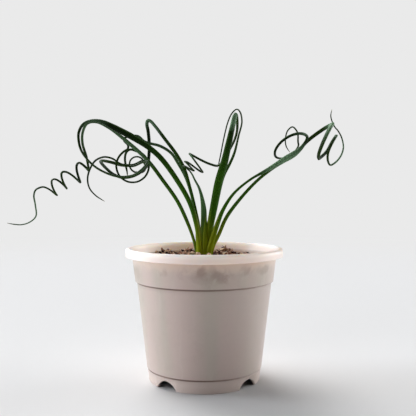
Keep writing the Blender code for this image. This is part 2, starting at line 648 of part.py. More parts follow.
def add_leaf(name, route, colour, plumpness, widths, parts):
    """Loft one leaf's sections along its route and close both ends."""
    points = route()
    curve = smooth_curve(points)
    places, shares = stations(curve)
    facing = (-points[0][0], -points[0][1], 0.0)
    ways, faces = blade_frames(places, facing)
    across_at = np.interp(shares, [share for share, _ in widths], [width for _, width in widths])

    def loft(edit):
        rings = []
        for place, way, face, width in zip(places, ways, faces, across_at):
            thick = blade_thickness(width, plumpness, place[2])
            corners = blade_ring(place, way, face, width, thick)
            rings.append([edit.verts.new(corner * MM) for corner in corners])
        for low, high in zip(rings, rings[1:]):
            for side in range(LEAF_SIDES):
                after = (side + 1) % LEAF_SIDES
                edit.faces.new((low[side], low[after], high[after], high[side]))
        edit.faces.new(rings[0][::-1])
        edit.faces.new(rings[-1])
        bmesh.ops.recalc_face_normals(edit, faces=edit.faces)

    leaf = add_object(name, mesh_from(loft, name), parts, material(name + "_skin", colour, 0.4))
    shade_round(leaf, 60.0)
    return leaf


# Whole plant

def centre_on_origin(objects):
    """Hang everything on an empty that puts the middle of the whole plant over the origin."""
    frame = bpy.data.objects.new("plant_frame", None)
    bpy.context.scene.collection.objects.link(frame)
    corners = np.array([tuple(corner.co) for made in objects for corner in made.data.vertices])
    middle = (corners.min(axis=0) + corners.max(axis=0)) / 2
    for made in objects:
        made.parent = frame
    frame.location = (-middle[0], -middle[1], 0.0)


def main():
    clear_scene()
    parts = new_collection("potted_corkscrew_albuca")
    cutters = new_collection("cutters")
    chips = new_collection("bark_chips")
    made = [add_pot(parts, cutters), add_bulb(parts), add_soil(parts, chips)]
    for name, route, colour, plumpness, widths in LEAVES:
        made.append(add_leaf(name, route, colour, plumpness, widths, parts))
    centre_on_origin(made)


main()
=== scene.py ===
"""Looks of the potted corkscrew albuca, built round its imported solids.

Lengths are metres, apart from the leaf routes and blade widths, which are millimetres. Routes run
from the foot of the pot's axis, with +X to the right of the photograph and +Y away from its camera.
"""
import json
from math import cos, exp, pi, radians, sin, tan

import bmesh
import bpy
import numpy as np
from mathutils import Matrix, Vector, noise

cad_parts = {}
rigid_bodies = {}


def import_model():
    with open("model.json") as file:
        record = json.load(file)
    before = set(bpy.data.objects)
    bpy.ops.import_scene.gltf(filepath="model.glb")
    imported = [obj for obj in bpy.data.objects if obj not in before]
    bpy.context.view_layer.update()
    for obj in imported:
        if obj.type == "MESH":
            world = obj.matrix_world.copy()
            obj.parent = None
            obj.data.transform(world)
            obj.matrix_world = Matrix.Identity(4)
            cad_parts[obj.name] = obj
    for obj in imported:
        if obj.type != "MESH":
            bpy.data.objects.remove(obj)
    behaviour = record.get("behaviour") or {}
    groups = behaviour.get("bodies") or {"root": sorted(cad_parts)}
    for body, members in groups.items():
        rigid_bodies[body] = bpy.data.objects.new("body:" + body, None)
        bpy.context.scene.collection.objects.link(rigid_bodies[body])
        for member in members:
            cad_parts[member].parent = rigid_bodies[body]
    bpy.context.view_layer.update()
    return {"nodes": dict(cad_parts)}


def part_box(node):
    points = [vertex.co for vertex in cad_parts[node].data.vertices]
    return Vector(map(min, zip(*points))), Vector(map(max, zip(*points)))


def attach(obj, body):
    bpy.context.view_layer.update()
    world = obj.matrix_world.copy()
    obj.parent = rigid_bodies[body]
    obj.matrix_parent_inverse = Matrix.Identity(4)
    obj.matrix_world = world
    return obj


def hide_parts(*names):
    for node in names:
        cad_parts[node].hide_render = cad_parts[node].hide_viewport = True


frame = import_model()

MM = 0.001
POT_LOW, POT_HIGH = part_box("pot")
AXIS = Vector(((POT_LOW.x + POT_HIGH.x) / 2, (POT_LOW.y + POT_HIGH.y) / 2, 0.0))

# Camera, from the fit of the pot's ellipses
CAMERA_PLACE = AXIS + Vector((0.0030, -0.5000, 0.1486))
CAMERA_TILT = radians(88.54)
CAMERA_LENS = 54.17

# Pot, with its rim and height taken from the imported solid
RIM_RADIUS = (POT_HIGH.x - POT_LOW.x) / 2
POT_HEIGHT = POT_HIGH.z
RIM_CROWN = 0.5 * MM
LIP_DEPTH = 6.2 * MM
BAND_TOP_RADIUS = 57.3 * MM
BAND_FOOT_RADIUS = 54.9 * MM
BAND_FOOT_Z = 78.4 * MM
BODY_TOP_RADIUS = 53.6 * MM
BODY_FOOT_RADIUS = 45.7 * MM
FOOT_LINE_Z = 10.4 * MM
FOOT_TOP_RADIUS = 45.2 * MM
FOOT_RADIUS = 44.0 * MM
WALL = 1.3 * MM
FOOT_WALL = 2.2 * MM
FLOOR_UNDERSIDE_Z = 9.2 * MM
FLOOR_TOP_Z = 10.7 * MM
NOTCH_BEARINGS = (-40.5, 49.5, 139.5, 229.5)
NOTCH_WIDTH = 19.0 * MM
NOTCH_HEIGHT = 6.5 * MM
NOTCH_ROUNDNESS = 0.7
NOTCH_STEPS = 32
DRAIN_RADIUS = 2.5 * MM
DRAIN_RING_RADIUS = 31.0 * MM
DRAIN_COUNT = 8
DRAIN_SIDES = 24
POT_TURN_STEP = 1.5
POLE_RADIUS = 0.0001 * MM
CREASE_DEPTH = 1.0 * MM
# Stains on the band: bearing, height, half width, half height and strength
POT_STAINS = (
    (-88.0, 89.5 * MM, 21.0 * MM, 8.0 * MM, 0.20),
    (-92.5, 92.0 * MM, 5.0 * MM, 5.5 * MM, 0.40),
    (-77.5, 88.5 * MM, 7.0 * MM, 4.5 * MM, 0.34),
    (-58.0, 92.5 * MM, 7.5 * MM, 5.0 * MM, 0.30),
    (-38.0, 90.5 * MM, 8.0 * MM, 3.5 * MM, 0.28),
    (-121.0, 89.5 * MM, 5.0 * MM, 3.5 * MM, 0.22),
    (-163.0, 86.0 * MM, 14.0 * MM, 8.0 * MM, 0.22),
    (152.0, 91.0 * MM, 8.0 * MM, 5.0 * MM, 0.40),
    (104.0, 89.0 * MM, 13.0 * MM, 7.0 * MM, 0.36),
    (71.0, 92.0 * MM, 6.0 * MM, 5.0 * MM, 0.50),
    (24.0, 89.0 * MM, 10.0 * MM, 6.0 * MM, 0.38),
)

# Soil
SOIL_CENTRE_Z = 97.0 * MM
SOIL_EDGE_Z = 91.0 * MM
SOIL_FLAT_RADIUS = 20.0 * MM
SOIL_FALL = 1.3
SOIL_GAP = 0.3 * MM
SOIL_RING_STEP = 0.9 * MM
SOIL_TURN_STEP = 1.5
# Waves of the soil in radians a millimetre: across, away and slantwise, and the slant's share
SOIL_WAVES = (0.43, 0.37, 0.23)
SOIL_WAVE_START = 1.0
SOIL_SLANT = 1.7
SOIL_SLANT_SHARE = 0.6
SOIL_WAVE_HEIGHT = 0.7
# Crumbly noise on the soil: size, level in the noise and height in millimetres
SOIL_CRUMBS = ((330, 0.0, 0.9), (800, 0.3, 0.45))
CALM_EDGE = 4.0 * MM
CLUMP_RADIUS = 7.5 * MM
CLEAR_ASIDE = 1.4 * CLUMP_RADIUS
CLEAR_IN_FRONT = 2.2 * CLUMP_RADIUS
HOLLOW_DEPTH = 1.8 * MM
HOLLOW_START = 6.0 * MM
HOLLOW_BEHIND = 15.0 * MM
BARE_EDGE = 2.5 * MM
FRONT_FADE = 12.0 * MM
POINT_DENSITY = 4.0e6
# Heaps of bark: place from the pot's axis, height and spread, all in millimetres
BARK_HEAPS = (
    (-34.5, 33.0, 4.8, 9.0),
    (-14.5, 36.0, 4.2, 6.5),
    (17.5, 34.0, 4.6, 8.5),
    (35.0, 30.0, 2.0, 4.5),
    (-24.0, -26.0, 1.2, 12.0),
    (22.0, -30.0, 1.0, 13.0),
    (-2.0, -38.0, 0.8, 12.0),
)

# Leaves, in millimetres
LEAF_FOOT_Z = 89.0
LEAF_COLLAR_Z = 97.0
OUTER_RING = 5.5
INNER_RING = 2.5
BLADE_THICKNESS = 3.0
COLLAR_THICKNESS = 1.7
TIP_THICKNESS = 0.85
SWELL_HEIGHT = 14.0
ROUND_BELOW = 1.5
CHANNEL_SHARE = 0.20
EDGE_SHARPNESS = 0.6
BLADE_CORNERS = 20
STATION_STEP = 1.1
TIP_TAPER = 6.0
TIP_SHARE = 0.22
SHEATH_PLUMPNESS = 0.1


class Graph:
    """Short ways to add and link the nodes of one tree."""

    def __init__(self, tree):
        self.tree = tree

    def add(self, kind, inputs=None, **options):
        made = self.tree.nodes.new(kind)
        for option, value in options.items():
            setattr(made, option, value)
        for key, value in (inputs or {}).items():
            if isinstance(value, bpy.types.NodeSocket):
                self.tree.links.new(value, made.inputs[key])
            else:
                made.inputs[key].default_value = value
        return made

    def out(self, kind, inputs=None, **options):
        """The first output of a new node."""
        return self.add(kind, inputs, **options).outputs[0]

    def math(self, operation, *values):
        return self.out("ShaderNodeMath", dict(enumerate(values)), operation=operation)

    def times(self, first, *others):
        """The product of two or more values."""
        for other in others:
            first = self.math("MULTIPLY", first, other)
        return first

    def vector(self, operation, *values):
        return self.out("ShaderNodeVectorMath", dict(enumerate(values)), operation=operation)

    def scaled(self, direction, amount):
        inputs = {"Vector": direction, "Scale": amount}
        return self.out("ShaderNodeVectorMath", inputs, operation="SCALE")

    def length(self, vector):
        return self.add("ShaderNodeVectorMath", {0: vector}, operation="LENGTH").outputs["Value"]

    def split(self, vector):
        """A vector's X, Y and Z."""
        return tuple(self.add("ShaderNodeSeparateXYZ", {0: vector}).outputs)

    def joined(self, x=0.0, y=0.0, z=0.0):
        return self.out("ShaderNodeCombineXYZ", {0: x, 1: y, 2: z})

    def fade(self, value, start, end, low=0.0, high=1.0):
        """A smooth step from low at start to high at end."""
        inputs = {"Value": value, "From Min": start, "From Max": end, "To Min": low, "To Max": high}
        return self.out("ShaderNodeMapRange", inputs, interpolation_type="SMOOTHSTEP")

    def blend(self, share, one, other):
        """A mix of two tones, each a socket or a red, green and blue."""
        inputs = {0: share}
        for key, tone in ((6, one), (7, other)):
            inputs[key] = tone if isinstance(tone, bpy.types.NodeSocket) else colour(*tone)
        return self.add("ShaderNodeMix", inputs, data_type="RGBA").outputs[2]

    def noise(self, place, scale, detail=3.0, rough=0.5, distortion=0.0):
        inputs = {"Vector": place, "Scale": scale, "Detail": detail, "Roughness": rough,
                  "Distortion": distortion}
        return self.out("ShaderNodeTexNoise", inputs)

    def attribute(self, name):
        return self.add("ShaderNodeAttribute", attribute_name=name).outputs["Fac"]

    def place(self, stretch=(1.0, 1.0, 1.0)):
        """Object coordinates measured from the pot's axis and stretched along each axis."""
        here = self.add("ShaderNodeTexCoord").outputs["Object"]
        centre = [-spot * size for spot, size in zip(AXIS, stretch)]
        return self.out("ShaderNodeMapping", {"Vector": here, "Location": centre, "Scale": stretch})

    def bump(self, height, strength, distance, normal=None):
        inputs = {"Height": height, "Strength": strength, "Distance": distance}
        if normal:
            inputs["Normal"] = normal
        return self.out("ShaderNodeBump", inputs)


def colour(red, green, blue):
    return (red, green, blue, 1.0)


def new_look(name, **fixed):
    """A material, its graph and its shader, with the values that are the same all over."""
    made = bpy.data.materials.new(name)
    made.use_nodes = True
    shader = made.node_tree.nodes["Principled BSDF"]
    for socket, value in fixed.items():
        shader.inputs[socket.replace("_", " ")].default_value = value
    return made, Graph(made.node_tree), shader


def link(graph, shader, **sockets):
    for name, source in sockets.items():
        graph.tree.links.new(source, shader.inputs[name.replace("_", " ")])


# Tones of the pot's plastic
BODY_WARM = (0.50, 0.396, 0.357)
BODY_GREY = (0.44, 0.385, 0.328)
BAND_BARE = (0.56, 0.460, 0.388)
SOIL_STAIN = (0.210, 0.130, 0.100)
PALE_STREAK = (0.62, 0.55, 0.51)
DUST = (0.34, 0.27, 0.23)
FOOT_PALE = (0.60, 0.50, 0.45)
# Painted shade below the wall's two steps and in their creases
CREASE_SHADE = (0.20, 0.14, 0.115)
CREASE_LINE_SHADE = (0.155, 0.088, 0.070)
LIP_SIDE = (0.82, 0.710, 0.665)
# Painted highlight along the lip's top
LIP_TOP_HIGHLIGHT = (0.94, 0.85, 0.80)
# Painted shade on the lip's right, away from the light
LIP_RIGHT_SHADE = (0.58, 0.490, 0.445)
# Painted shade on the inside of the wall, heaviest to the right
INNER_WALL_SHADE = (0.46, 0.38, 0.345)
# Painted shade under the pot's floor
UNDERSIDE_SHADE = (0.070, 0.045, 0.035)

# Tones of the leaves
FLESH = (0.003, 0.010, 0.001)
FLESH_AT_TIP = (0.012, 0.027, 0.009)
FLESH_LOW = (0.023, 0.088, 0.001)
FLESH_YOUNG = (0.200, 0.235, 0.002)
YOUNG_MARGIN = (0.330, 0.370, 0.016)
INNER_FACE = (0.085, 0.150, 0.030)
DARK_PATCH = (0.004, 0.014, 0.001)
PALE_EDGE = (0.050, 0.110, 0.012)
# Pale wax and painted sheen on the leaves' crests and tops
WAX_AND_SHEEN = (0.230, 0.400, 0.230)
DRY_TIP = (0.20, 0.17, 0.07)

# Tones of the soil, the bark and the bulb
SOIL_DARK = (0.030, 0.014, 0.009)
SOIL_BROWN = (0.150, 0.070, 0.040)
SOIL_SPECK = (0.45, 0.28, 0.18)
BARK_TONES = (
    (0.0, (0.012, 0.006, 0.004)),
    (0.34, (0.022, 0.007, 0.005)),
    (0.55, (0.090, 0.026, 0.015)),
    (0.68, (0.26, 0.095, 0.052)),
    (0.82, (0.60, 0.36, 0.23)),
    (1.0, (0.85, 0.62, 0.42)),
)
BARK_WORN = (0.025, 0.010, 0.007)
BULB_PALE = (0.62, 0.52, 0.34)
BULB_BROWN = (0.34, 0.22, 0.12)


# Materials

def stained(graph, tone, here, cloud):
    """The tone with the ragged stains that the soil leaves behind the band."""
    for bearing, level, width, rise, strength in POT_STAINS:
        spot = Vector((cos(radians(bearing)), sin(radians(bearing)), 0.0)) * BAND_TOP_RADIUS
        spot.z = level
        shrink = (1 / width, 1 / width, 1 / rise)
        apart = graph.length(graph.vector("MULTIPLY", graph.vector("SUBTRACT", here, spot), shrink))
        ragged = graph.math("MULTIPLY_ADD", cloud, 3.0, graph.math("SUBTRACT", apart, 1.5))
        tone = graph.blend(graph.fade(ragged, 1.15, 0.25, 0.0, strength), tone, SOIL_STAIN)
    return tone


def creased(graph, tone, height):
    """The tone with painted shade below the wall's two steps and a darker painted shade line in them."""
    for crease in (BAND_FOOT_Z, FOOT_LINE_Z):
        # Painted shade fading down below each step
        shade = graph.times(graph.fade(height, crease - 5.0 * MM, crease - 0.5 * MM, 0.0, 0.22),
                            graph.fade(height, crease + 0.35 * MM, crease))
        tone = graph.blend(shade, tone, CREASE_SHADE)
        bottom = crease - CREASE_DEPTH
        low_side = graph.fade(height, bottom - 0.6 * MM, bottom + 0.3 * MM)
        high_side = graph.fade(height, crease + 0.5 * MM, crease + 0.1 * MM)
        # Painted shade: a dark line in each crease
        tone = graph.blend(graph.times(low_side, high_side, 0.8), tone, CREASE_LINE_SHADE)
    return tone


def lip_tone(graph, height, across):
    """A painted highlight along the top, and painted shade to the right."""
    # Painted highlight: the lip paler towards its top
    lit = graph.fade(height, POT_HEIGHT - 3.8 * MM, POT_HEIGHT - 0.6 * MM)
    # Painted shade: the lip darker to the right, away from the light
    right_shade = graph.fade(across, 15 * MM, 60 * MM, 0.0, 0.40)
    return graph.blend(right_shade, graph.blend(lit, LIP_SIDE, LIP_TOP_HIGHLIGHT), LIP_RIGHT_SHADE)


def inner_shade_share(graph, here, height, out, across):
    """How much painted shade lies on the inside of the wall, with more of it to the right."""
    slant = (BAND_TOP_RADIUS - BAND_FOOT_RADIUS) / (POT_HEIGHT - LIP_DEPTH - BAND_FOOT_Z)
    middle = BAND_FOOT_RADIUS - WALL / 2 - slant * BAND_FOOT_Z
    upright = graph.math("MULTIPLY_ADD", height, -slant, out)
    inside = graph.fade(upright, middle + 0.2 * MM, middle - 0.2 * MM)
    patchy = graph.fade(graph.noise(here, 300.0, 4.0, 0.65), 0.30, 0.65, 0.7, 1.0)
    return graph.times(inside, graph.fade(across, -10 * MM, 45 * MM, 0.05, 0.85), patchy)


def pot_plastic():
    """Thin beige plastic: pale and glowing above the soil, browner and clouded where soil is behind it."""
    look, graph, shader = new_look("pot_plastic", IOR=1.48, Subsurface_Radius=(1.0, 0.7, 0.5))
    here = graph.place()
    across, away, height = graph.split(here)
    squares = graph.math("ADD", graph.math("POWER", across, 2.0), graph.math("POWER", away, 2.0))
    out = graph.math("SQRT", squares)
    cloud = graph.noise(here, 85.0, 5.0, 0.62, 0.8)
    small_cloud = graph.noise(here, 130.0, 3.0, 0.6)
    broad_streak = graph.noise(graph.place((1.0, 1.0, 0.05)), 40.0, 2.0, 0.5)
    fine_streak = graph.noise(graph.place((1.0, 1.0, 0.07)), 170.0, 3.0, 0.6)
    # Vertical warm and grey bands at random: partly the plastic's own mottling, partly painted reflections of
    # the surroundings
    tone = graph.blend(graph.fade(broad_streak, 0.35, 0.65), BODY_WARM, BODY_GREY)
    swaying = graph.math("ADD", height, graph.math("MULTIPLY_ADD", cloud, 12 * MM, -6 * MM))
    tone = graph.blend(graph.fade(swaying, 88.0 * MM, 95.5 * MM, 0.0, 0.8), tone, BAND_BARE)
    tone = stained(graph, tone, here, cloud)
    tone = graph.blend(graph.times(graph.fade(fine_streak, 0.56, 0.72), 0.14), tone, PALE_STREAK)
    tone = graph.blend(graph.times(graph.fade(small_cloud, 0.50, 0.75), 0.12), tone, DUST)
    foot = graph.fade(height, FOOT_LINE_Z, FOOT_LINE_Z - 1.0 * MM, 0.0, 0.8)
    tone = creased(graph, graph.blend(foot, tone, FOOT_PALE), height)
    lip_foot = POT_HEIGHT - LIP_DEPTH
    lip = graph.fade(height, lip_foot - 1.2 * MM, lip_foot + 0.4 * MM)
    tone = graph.blend(lip, tone, lip_tone(graph, height, across))
    # Painted shade on the inside of the wall, heaviest to the right
    tone = graph.blend(inner_shade_share(graph, here, height, out, across), tone, INNER_WALL_SHADE)
    # Painted shade: the floor's underside and the foot ring's inside made nearly black
    under = graph.times(graph.fade(out, FOOT_RADIUS - 0.5 * MM, FOOT_RADIUS - 1.8 * MM, 0.0, 0.92),
                        graph.fade(height, FLOOR_UNDERSIDE_Z + 0.6 * MM, FLOOR_UNDERSIDE_Z))
    tone = graph.blend(under, tone, UNDERSIDE_SHADE)
    normal = graph.bump(graph.noise(graph.place((1.0, 1.0, 0.4)), 40.0, 2.0), 0.25, 0.8 * MM)
    normal = graph.bump(graph.noise(here, 1500.0, 2.0), 0.10, 0.2 * MM, normal)
    rough = graph.math("MULTIPLY_ADD", small_cloud, 0.22, 0.30)
    glow = graph.fade(height, SOIL_EDGE_Z, SOIL_EDGE_Z + 6 * MM, 0.12, 0.55)
    depth = graph.fade(height, lip_foot - 1.0 * MM, lip_foot + 1.0 * MM, 4 * MM, 10 * MM)
    link(graph, shader, Base_Color=tone, Roughness=rough, Normal=normal, Subsurface_Weight=glow,
         Subsurface_Scale=depth)
    return look


def leaf_green():
    """Waxy green: yellow at the foot, nearly black above, with pale wax and painted sheen on top, and dry at
    the tip.
    """
    look, graph, shader = new_look("leaf_green", IOR=1.45, Specular_IOR_Level=0.05)
    reach = graph.attribute("reach")
    left = graph.attribute("left_to_tip")
    side = graph.attribute("side")
    edge = graph.math("ABSOLUTE", side)
    yellow = graph.attribute("yellow")
    patchy = graph.noise(graph.place(), 60.0, 3.0)
    flesh = graph.blend(graph.fade(left, 90 * MM, 10 * MM), FLESH, FLESH_AT_TIP)
    flesh = graph.blend(graph.fade(reach, 130 * MM, 45 * MM), flesh, FLESH_LOW)
    flesh = graph.blend(graph.times(graph.fade(reach, 46 * MM, 8 * MM), yellow), flesh, FLESH_YOUNG)
    margin = graph.times(graph.fade(edge, 0.55, 0.95), graph.fade(reach, 52 * MM, 18 * MM, 0.0, 0.8), yellow)
    flesh = graph.blend(margin, flesh, YOUNG_MARGIN)
    flesh = graph.blend(graph.fade(graph.attribute("upper"), 0.0, 0.6, 0.0, 0.12), flesh, INNER_FACE)
    flesh = graph.blend(graph.fade(patchy, 0.35, 0.75, 0.0, 0.35), flesh, DARK_PATCH)
    flesh = graph.blend(graph.fade(edge, 0.65, 1.0, 0.0, 0.25), flesh, PALE_EDGE)
    stripes = graph.math("SINE", graph.times(side, 9.0))
    # Pale wax and painted sheen in stretches along the crests
    wax_and_sheen_share = graph.times(graph.attribute("wax"), graph.math("MULTIPLY_ADD", stripes, 0.15, 0.85))
    # Painted sky sheen on the faces that look up
    painted_sky_sheen = graph.times(graph.fade(graph.attribute("skyward"), 0.35, 0.95),
                         graph.fade(reach, 60 * MM, 120 * MM, 0.0, 0.16))
    flesh = graph.blend(graph.math("ADD", wax_and_sheen_share, painted_sky_sheen), flesh, WAX_AND_SHEEN)
    flesh = graph.blend(graph.fade(left, 3.0 * MM, 0.5 * MM), flesh, DRY_TIP)
    ribs = graph.math("SINE", graph.times(side, 26.0))
    normal = graph.bump(ribs, 0.30, 0.06 * MM)
    rough = graph.math("MULTIPLY_ADD", patchy, 0.20, 0.34)
    link(graph, shader, Base_Color=flesh, Roughness=rough, Normal=normal)
    return look


def soil_look():
    look, graph, shader = new_look("soil_mix", Specular_IOR_Level=0.2)
    here = graph.place()
    lumps = graph.noise(here, 260.0, 5.0, 0.65)
    specks = graph.noise(here, 1300.0, 2.0)
    tone = graph.blend(graph.fade(lumps, 0.35, 0.65), SOIL_DARK, SOIL_BROWN)
    tone = graph.blend(graph.fade(specks, 0.58, 0.70, 0.0, 0.6), tone, SOIL_SPECK)
    rough = graph.fade(lumps, 0.2, 0.8, 0.95, 0.75)
    link(graph, shader, Base_Color=tone, Roughness=rough, Normal=graph.bump(lumps, 0.8, 1.2 * MM))
    return look


def bark_look():
    """Each chip keeps its own tone, from nearly black over red brown to tan, with dark worn grain."""
    look, graph, shader = new_look("bark", Specular_IOR_Level=0.25)
    grain = graph.noise(graph.place(), 700.0, 3.0, 0.6)
    ramp = graph.add("ShaderNodeValToRGB", {0: graph.attribute("tint")})
    stops = ramp.color_ramp.elements
    for position, _ in BARK_TONES[1:-1]:
        stops.new(position)
    for stop, (position, tone) in zip(stops, BARK_TONES):
        stop.position = position
        stop.color = colour(*tone)
    worn = graph.blend(graph.fade(grain, 0.50, 0.66, 0.0, 0.7), ramp.outputs[0], BARK_WORN)
    rough = graph.fade(grain, 0.2, 0.8, 0.9, 0.6)
    link(graph, shader, Base_Color=worn, Roughness=rough, Normal=graph.bump(grain, 0.7, 0.4 * MM))
    return look


def bulb_look():
    """Papery tunic with upright fibres."""
    look, graph, shader = new_look("bulb_skin", Specular_IOR_Level=0.35)
    fibres = graph.noise(graph.place((1.0, 1.0, 0.12)), 520.0, 4.0, 0.6)
    tone = graph.blend(graph.fade(fibres, 0.35, 0.70), BULB_PALE, BULB_BROWN)
    rough = graph.fade(fibres, 0.2, 0.8, 0.5, 0.8)
    link(graph, shader, Base_Color=tone, Roughness=rough, Normal=graph.bump(fibres, 0.5, 0.5 * MM))
    return look


# Meshes

def new_piece(name, mesh, look=None):
    made = bpy.data.objects.new(name, mesh)
    bpy.context.scene.collection.objects.link(made)
    if look:
        mesh.materials.append(look)
    return made


def freeze(piece):
    """Turn the piece's evaluated result into its own mesh and remove the modifiers."""
    graph = bpy.context.evaluated_depsgraph_get()
    graph.update()
    shown = piece.evaluated_get(graph)
    mesh = bpy.data.meshes.new_from_object(shown, preserve_all_data_layers=True, depsgraph=graph)
    piece.modifiers.clear()
    piece.data = mesh
    mesh.name = piece.name
    return piece


def mesh_of(name, edit):
    """The finished mesh of an edit, which is freed."""
    mesh = bpy.data.meshes.new(name)
    edit.to_mesh(mesh)
    edit.free()
    return mesh


def face_outward(mesh):
    """Point the faces of closed shells outwards."""
    edit = bmesh.new()
    edit.from_mesh(mesh)
    bmesh.ops.recalc_face_normals(edit, faces=edit.faces)
    edit.to_mesh(mesh)
    edit.free()


def clear_away(collection):
    """Remove a collection and the helper objects in it."""
    for helper in list(collection.objects):
        bpy.data.objects.remove(helper, do_unlink=True)
    bpy.data.collections.remove(collection)


def finish_piece(piece, slot, *nodes):
    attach(piece, "root")
    if nodes:
        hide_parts(*nodes)


def turned(name, profile, bearings, look, shape):
    """Turn (radius, z) points round the pot's axis and shape them, all but the pole at no radius."""
    edit = bmesh.new()
    rings = []
    for radius, z in profile:
        if radius < POLE_RADIUS:
            rings.append([edit.verts.new(AXIS + Vector((0.0, 0.0, z)))])
            continue
        ring = []
        for bearing in bearings:
            x = radius * cos(radians(bearing))
            y = radius * sin(radians(bearing))
            ring.append(edit.verts.new(AXIS + shape(x, y, z, bearing)))
        rings.append(ring)
    count = len(bearings)
    for low, high in zip(rings, rings[1:]):
        for step in range(count):
            after = (step + 1) % count
            corners = [low[step % len(low)], low[after % len(low)],
                       high[after % len(high)], high[step % len(high)]]
            face = list(dict.fromkeys(corners))
            if len(face) > 2:
                edit.faces.new(face)
    bmesh.ops.recalc_face_normals(edit, faces=edit.faces)
    return new_piece(name, mesh_of(name, edit), look)


def rounded(corners, arc_steps=5, support=0.35 * MM, longest=6.0 * MM):
    """Points where each (radius, z, fillet) corner is an arc, with close rows where a stretch ends."""
    arcs = [[Vector(corners[0][:2])]]
    for before, corner, after in zip(corners, corners[1:], corners[2:]):
        spot = Vector(corner[:2])
        if not corner[2]:
            arcs.append([spot])
            continue
        back = (Vector(before[:2]) - spot).normalized()
        ahead = (Vector(after[:2]) - spot).normalized()
        half = back.angle(ahead) / 2
        middle = spot + (back + ahead).normalized() * corner[2] / sin(half)
        start = (spot + back * corner[2] / tan(half) - middle).normalized()
        end = (spot + ahead * corner[2] / tan(half) - middle).normalized()
        turns = [start.slerp(end, step / arc_steps) for step in range(arc_steps + 1)]
        arcs.append([middle + turn * corner[2] for turn in turns])
    arcs.append([Vector(corners[-1][:2])])
    points = list(arcs[0])
    for arc in arcs[1:]:
        start, end = points[-1], arc[0]
        length = (end - start).length
        if length > 3 * support:
            pieces = max(1, round((length - 2 * support) / longest))
            for step in range(pieces + 1):
                share = (support + (length - 2 * support) * step / pieces) / length
                points.append(start.lerp(end, share))
        points.extend(arc)
    return [tuple(point) for point in points]


# Pot

def pot_inner_radius(z):
    """Inside radius of the pot's wall at a height."""
    if z > BAND_FOOT_Z:
        share = (z - BAND_FOOT_Z) / (POT_HEIGHT - LIP_DEPTH - BAND_FOOT_Z)
        return BAND_FOOT_RADIUS - WALL + share * (BAND_TOP_RADIUS - BAND_FOOT_RADIUS)
    share = (z - FOOT_LINE_Z) / (BAND_FOOT_Z - FOOT_LINE_Z)
    return BODY_FOOT_RADIUS - WALL + share * (BODY_TOP_RADIUS - BODY_FOOT_RADIUS)


def pot_profile():
    lip_foot = POT_HEIGHT - LIP_DEPTH
    corners = [
        (0.0, FLOOR_TOP_Z, 0.0),
        (pot_inner_radius(FLOOR_TOP_Z), FLOOR_TOP_Z, 1.5 * MM),
        (BODY_TOP_RADIUS - WALL, BAND_FOOT_Z - 1.0 * MM, 0.6 * MM),
        (BAND_FOOT_RADIUS - WALL, BAND_FOOT_Z + 0.6 * MM, 0.6 * MM),
        (BAND_TOP_RADIUS - WALL, lip_foot - 1.2 * MM, 2.5 * MM),
        (RIM_RADIUS - 3.6 * MM, POT_HEIGHT + RIM_CROWN, 1.6 * MM),
        (RIM_RADIUS, POT_HEIGHT + RIM_CROWN, 2.2 * MM),
        (RIM_RADIUS, lip_foot, 0.7 * MM),
        (BAND_TOP_RADIUS, lip_foot, 0.4 * MM),
        (BAND_FOOT_RADIUS, BAND_FOOT_Z, 0.3 * MM),
        (BODY_TOP_RADIUS - 0.5 * MM, BAND_FOOT_Z, 0.15 * MM),
        (BODY_TOP_RADIUS - 0.5 * MM, BAND_FOOT_Z - 0.5 * MM, 0.15 * MM),
        (BODY_TOP_RADIUS - 0.1 * MM, BAND_FOOT_Z - CREASE_DEPTH, 0.2 * MM),
        (BODY_FOOT_RADIUS, FOOT_LINE_Z, 0.25 * MM),
        (FOOT_TOP_RADIUS - 0.8 * MM, FOOT_LINE_Z - 0.2 * MM, 0.15 * MM),
        (FOOT_TOP_RADIUS, FOOT_LINE_Z - CREASE_DEPTH, 0.3 * MM),
        (FOOT_RADIUS, 0.0, 0.5 * MM),
        (FOOT_RADIUS - FOOT_WALL, 0.0, 0.4 * MM),
        (FOOT_TOP_RADIUS - FOOT_WALL, FLOOR_UNDERSIDE_Z, 0.5 * MM),
        (0.0, FLOOR_UNDERSIDE_Z, 0.0),
    ]
    return rounded(corners)


def notch_rise(bearing):
    """Height of the foot's lower edge above the table at a bearing."""
    rise = 0.0
    for notch in NOTCH_BEARINGS:
        off = (bearing - notch + 180.0) % 360.0 - 180.0
        share = abs(radians(off)) * FOOT_RADIUS / (NOTCH_WIDTH / 2)
        if share < 1.0:
            rise = NOTCH_HEIGHT * (1 - share * share) ** NOTCH_ROUNDNESS
    return rise


def foot_shape(x, y, z, bearing):
    """The foot ring's edge lifted over each notch, with the wall above it drawn together."""
    top = FLOOR_UNDERSIDE_Z
    if z >= top or (x * x + y * y) ** 0.5 < FOOT_RADIUS - FOOT_WALL - 0.5 * MM:
        return Vector((x, y, z))
    rise = notch_rise(bearing)
    return Vector((x, y, rise + z * (1 - rise / top)))


def pot_bearings():
    """Even steps round the pot, and closer ones that meet each notch's two ends."""
    half = NOTCH_WIDTH / 2 / FOOT_RADIUS * 180 / pi
    close = []
    for notch in NOTCH_BEARINGS:
        close += [notch - half * cos(pi * step / NOTCH_STEPS) for step in range(NOTCH_STEPS + 1)]
    even = []
    for step in range(round(360 / POT_TURN_STEP)):
        bearing = step * POT_TURN_STEP
        apart = min(abs((bearing - other + 180) % 360 - 180) for other in close)
        if apart > POT_TURN_STEP / 3 and not notch_rise(bearing):
            even.append(bearing)
    return sorted(bearing % 360 for bearing in close + even)


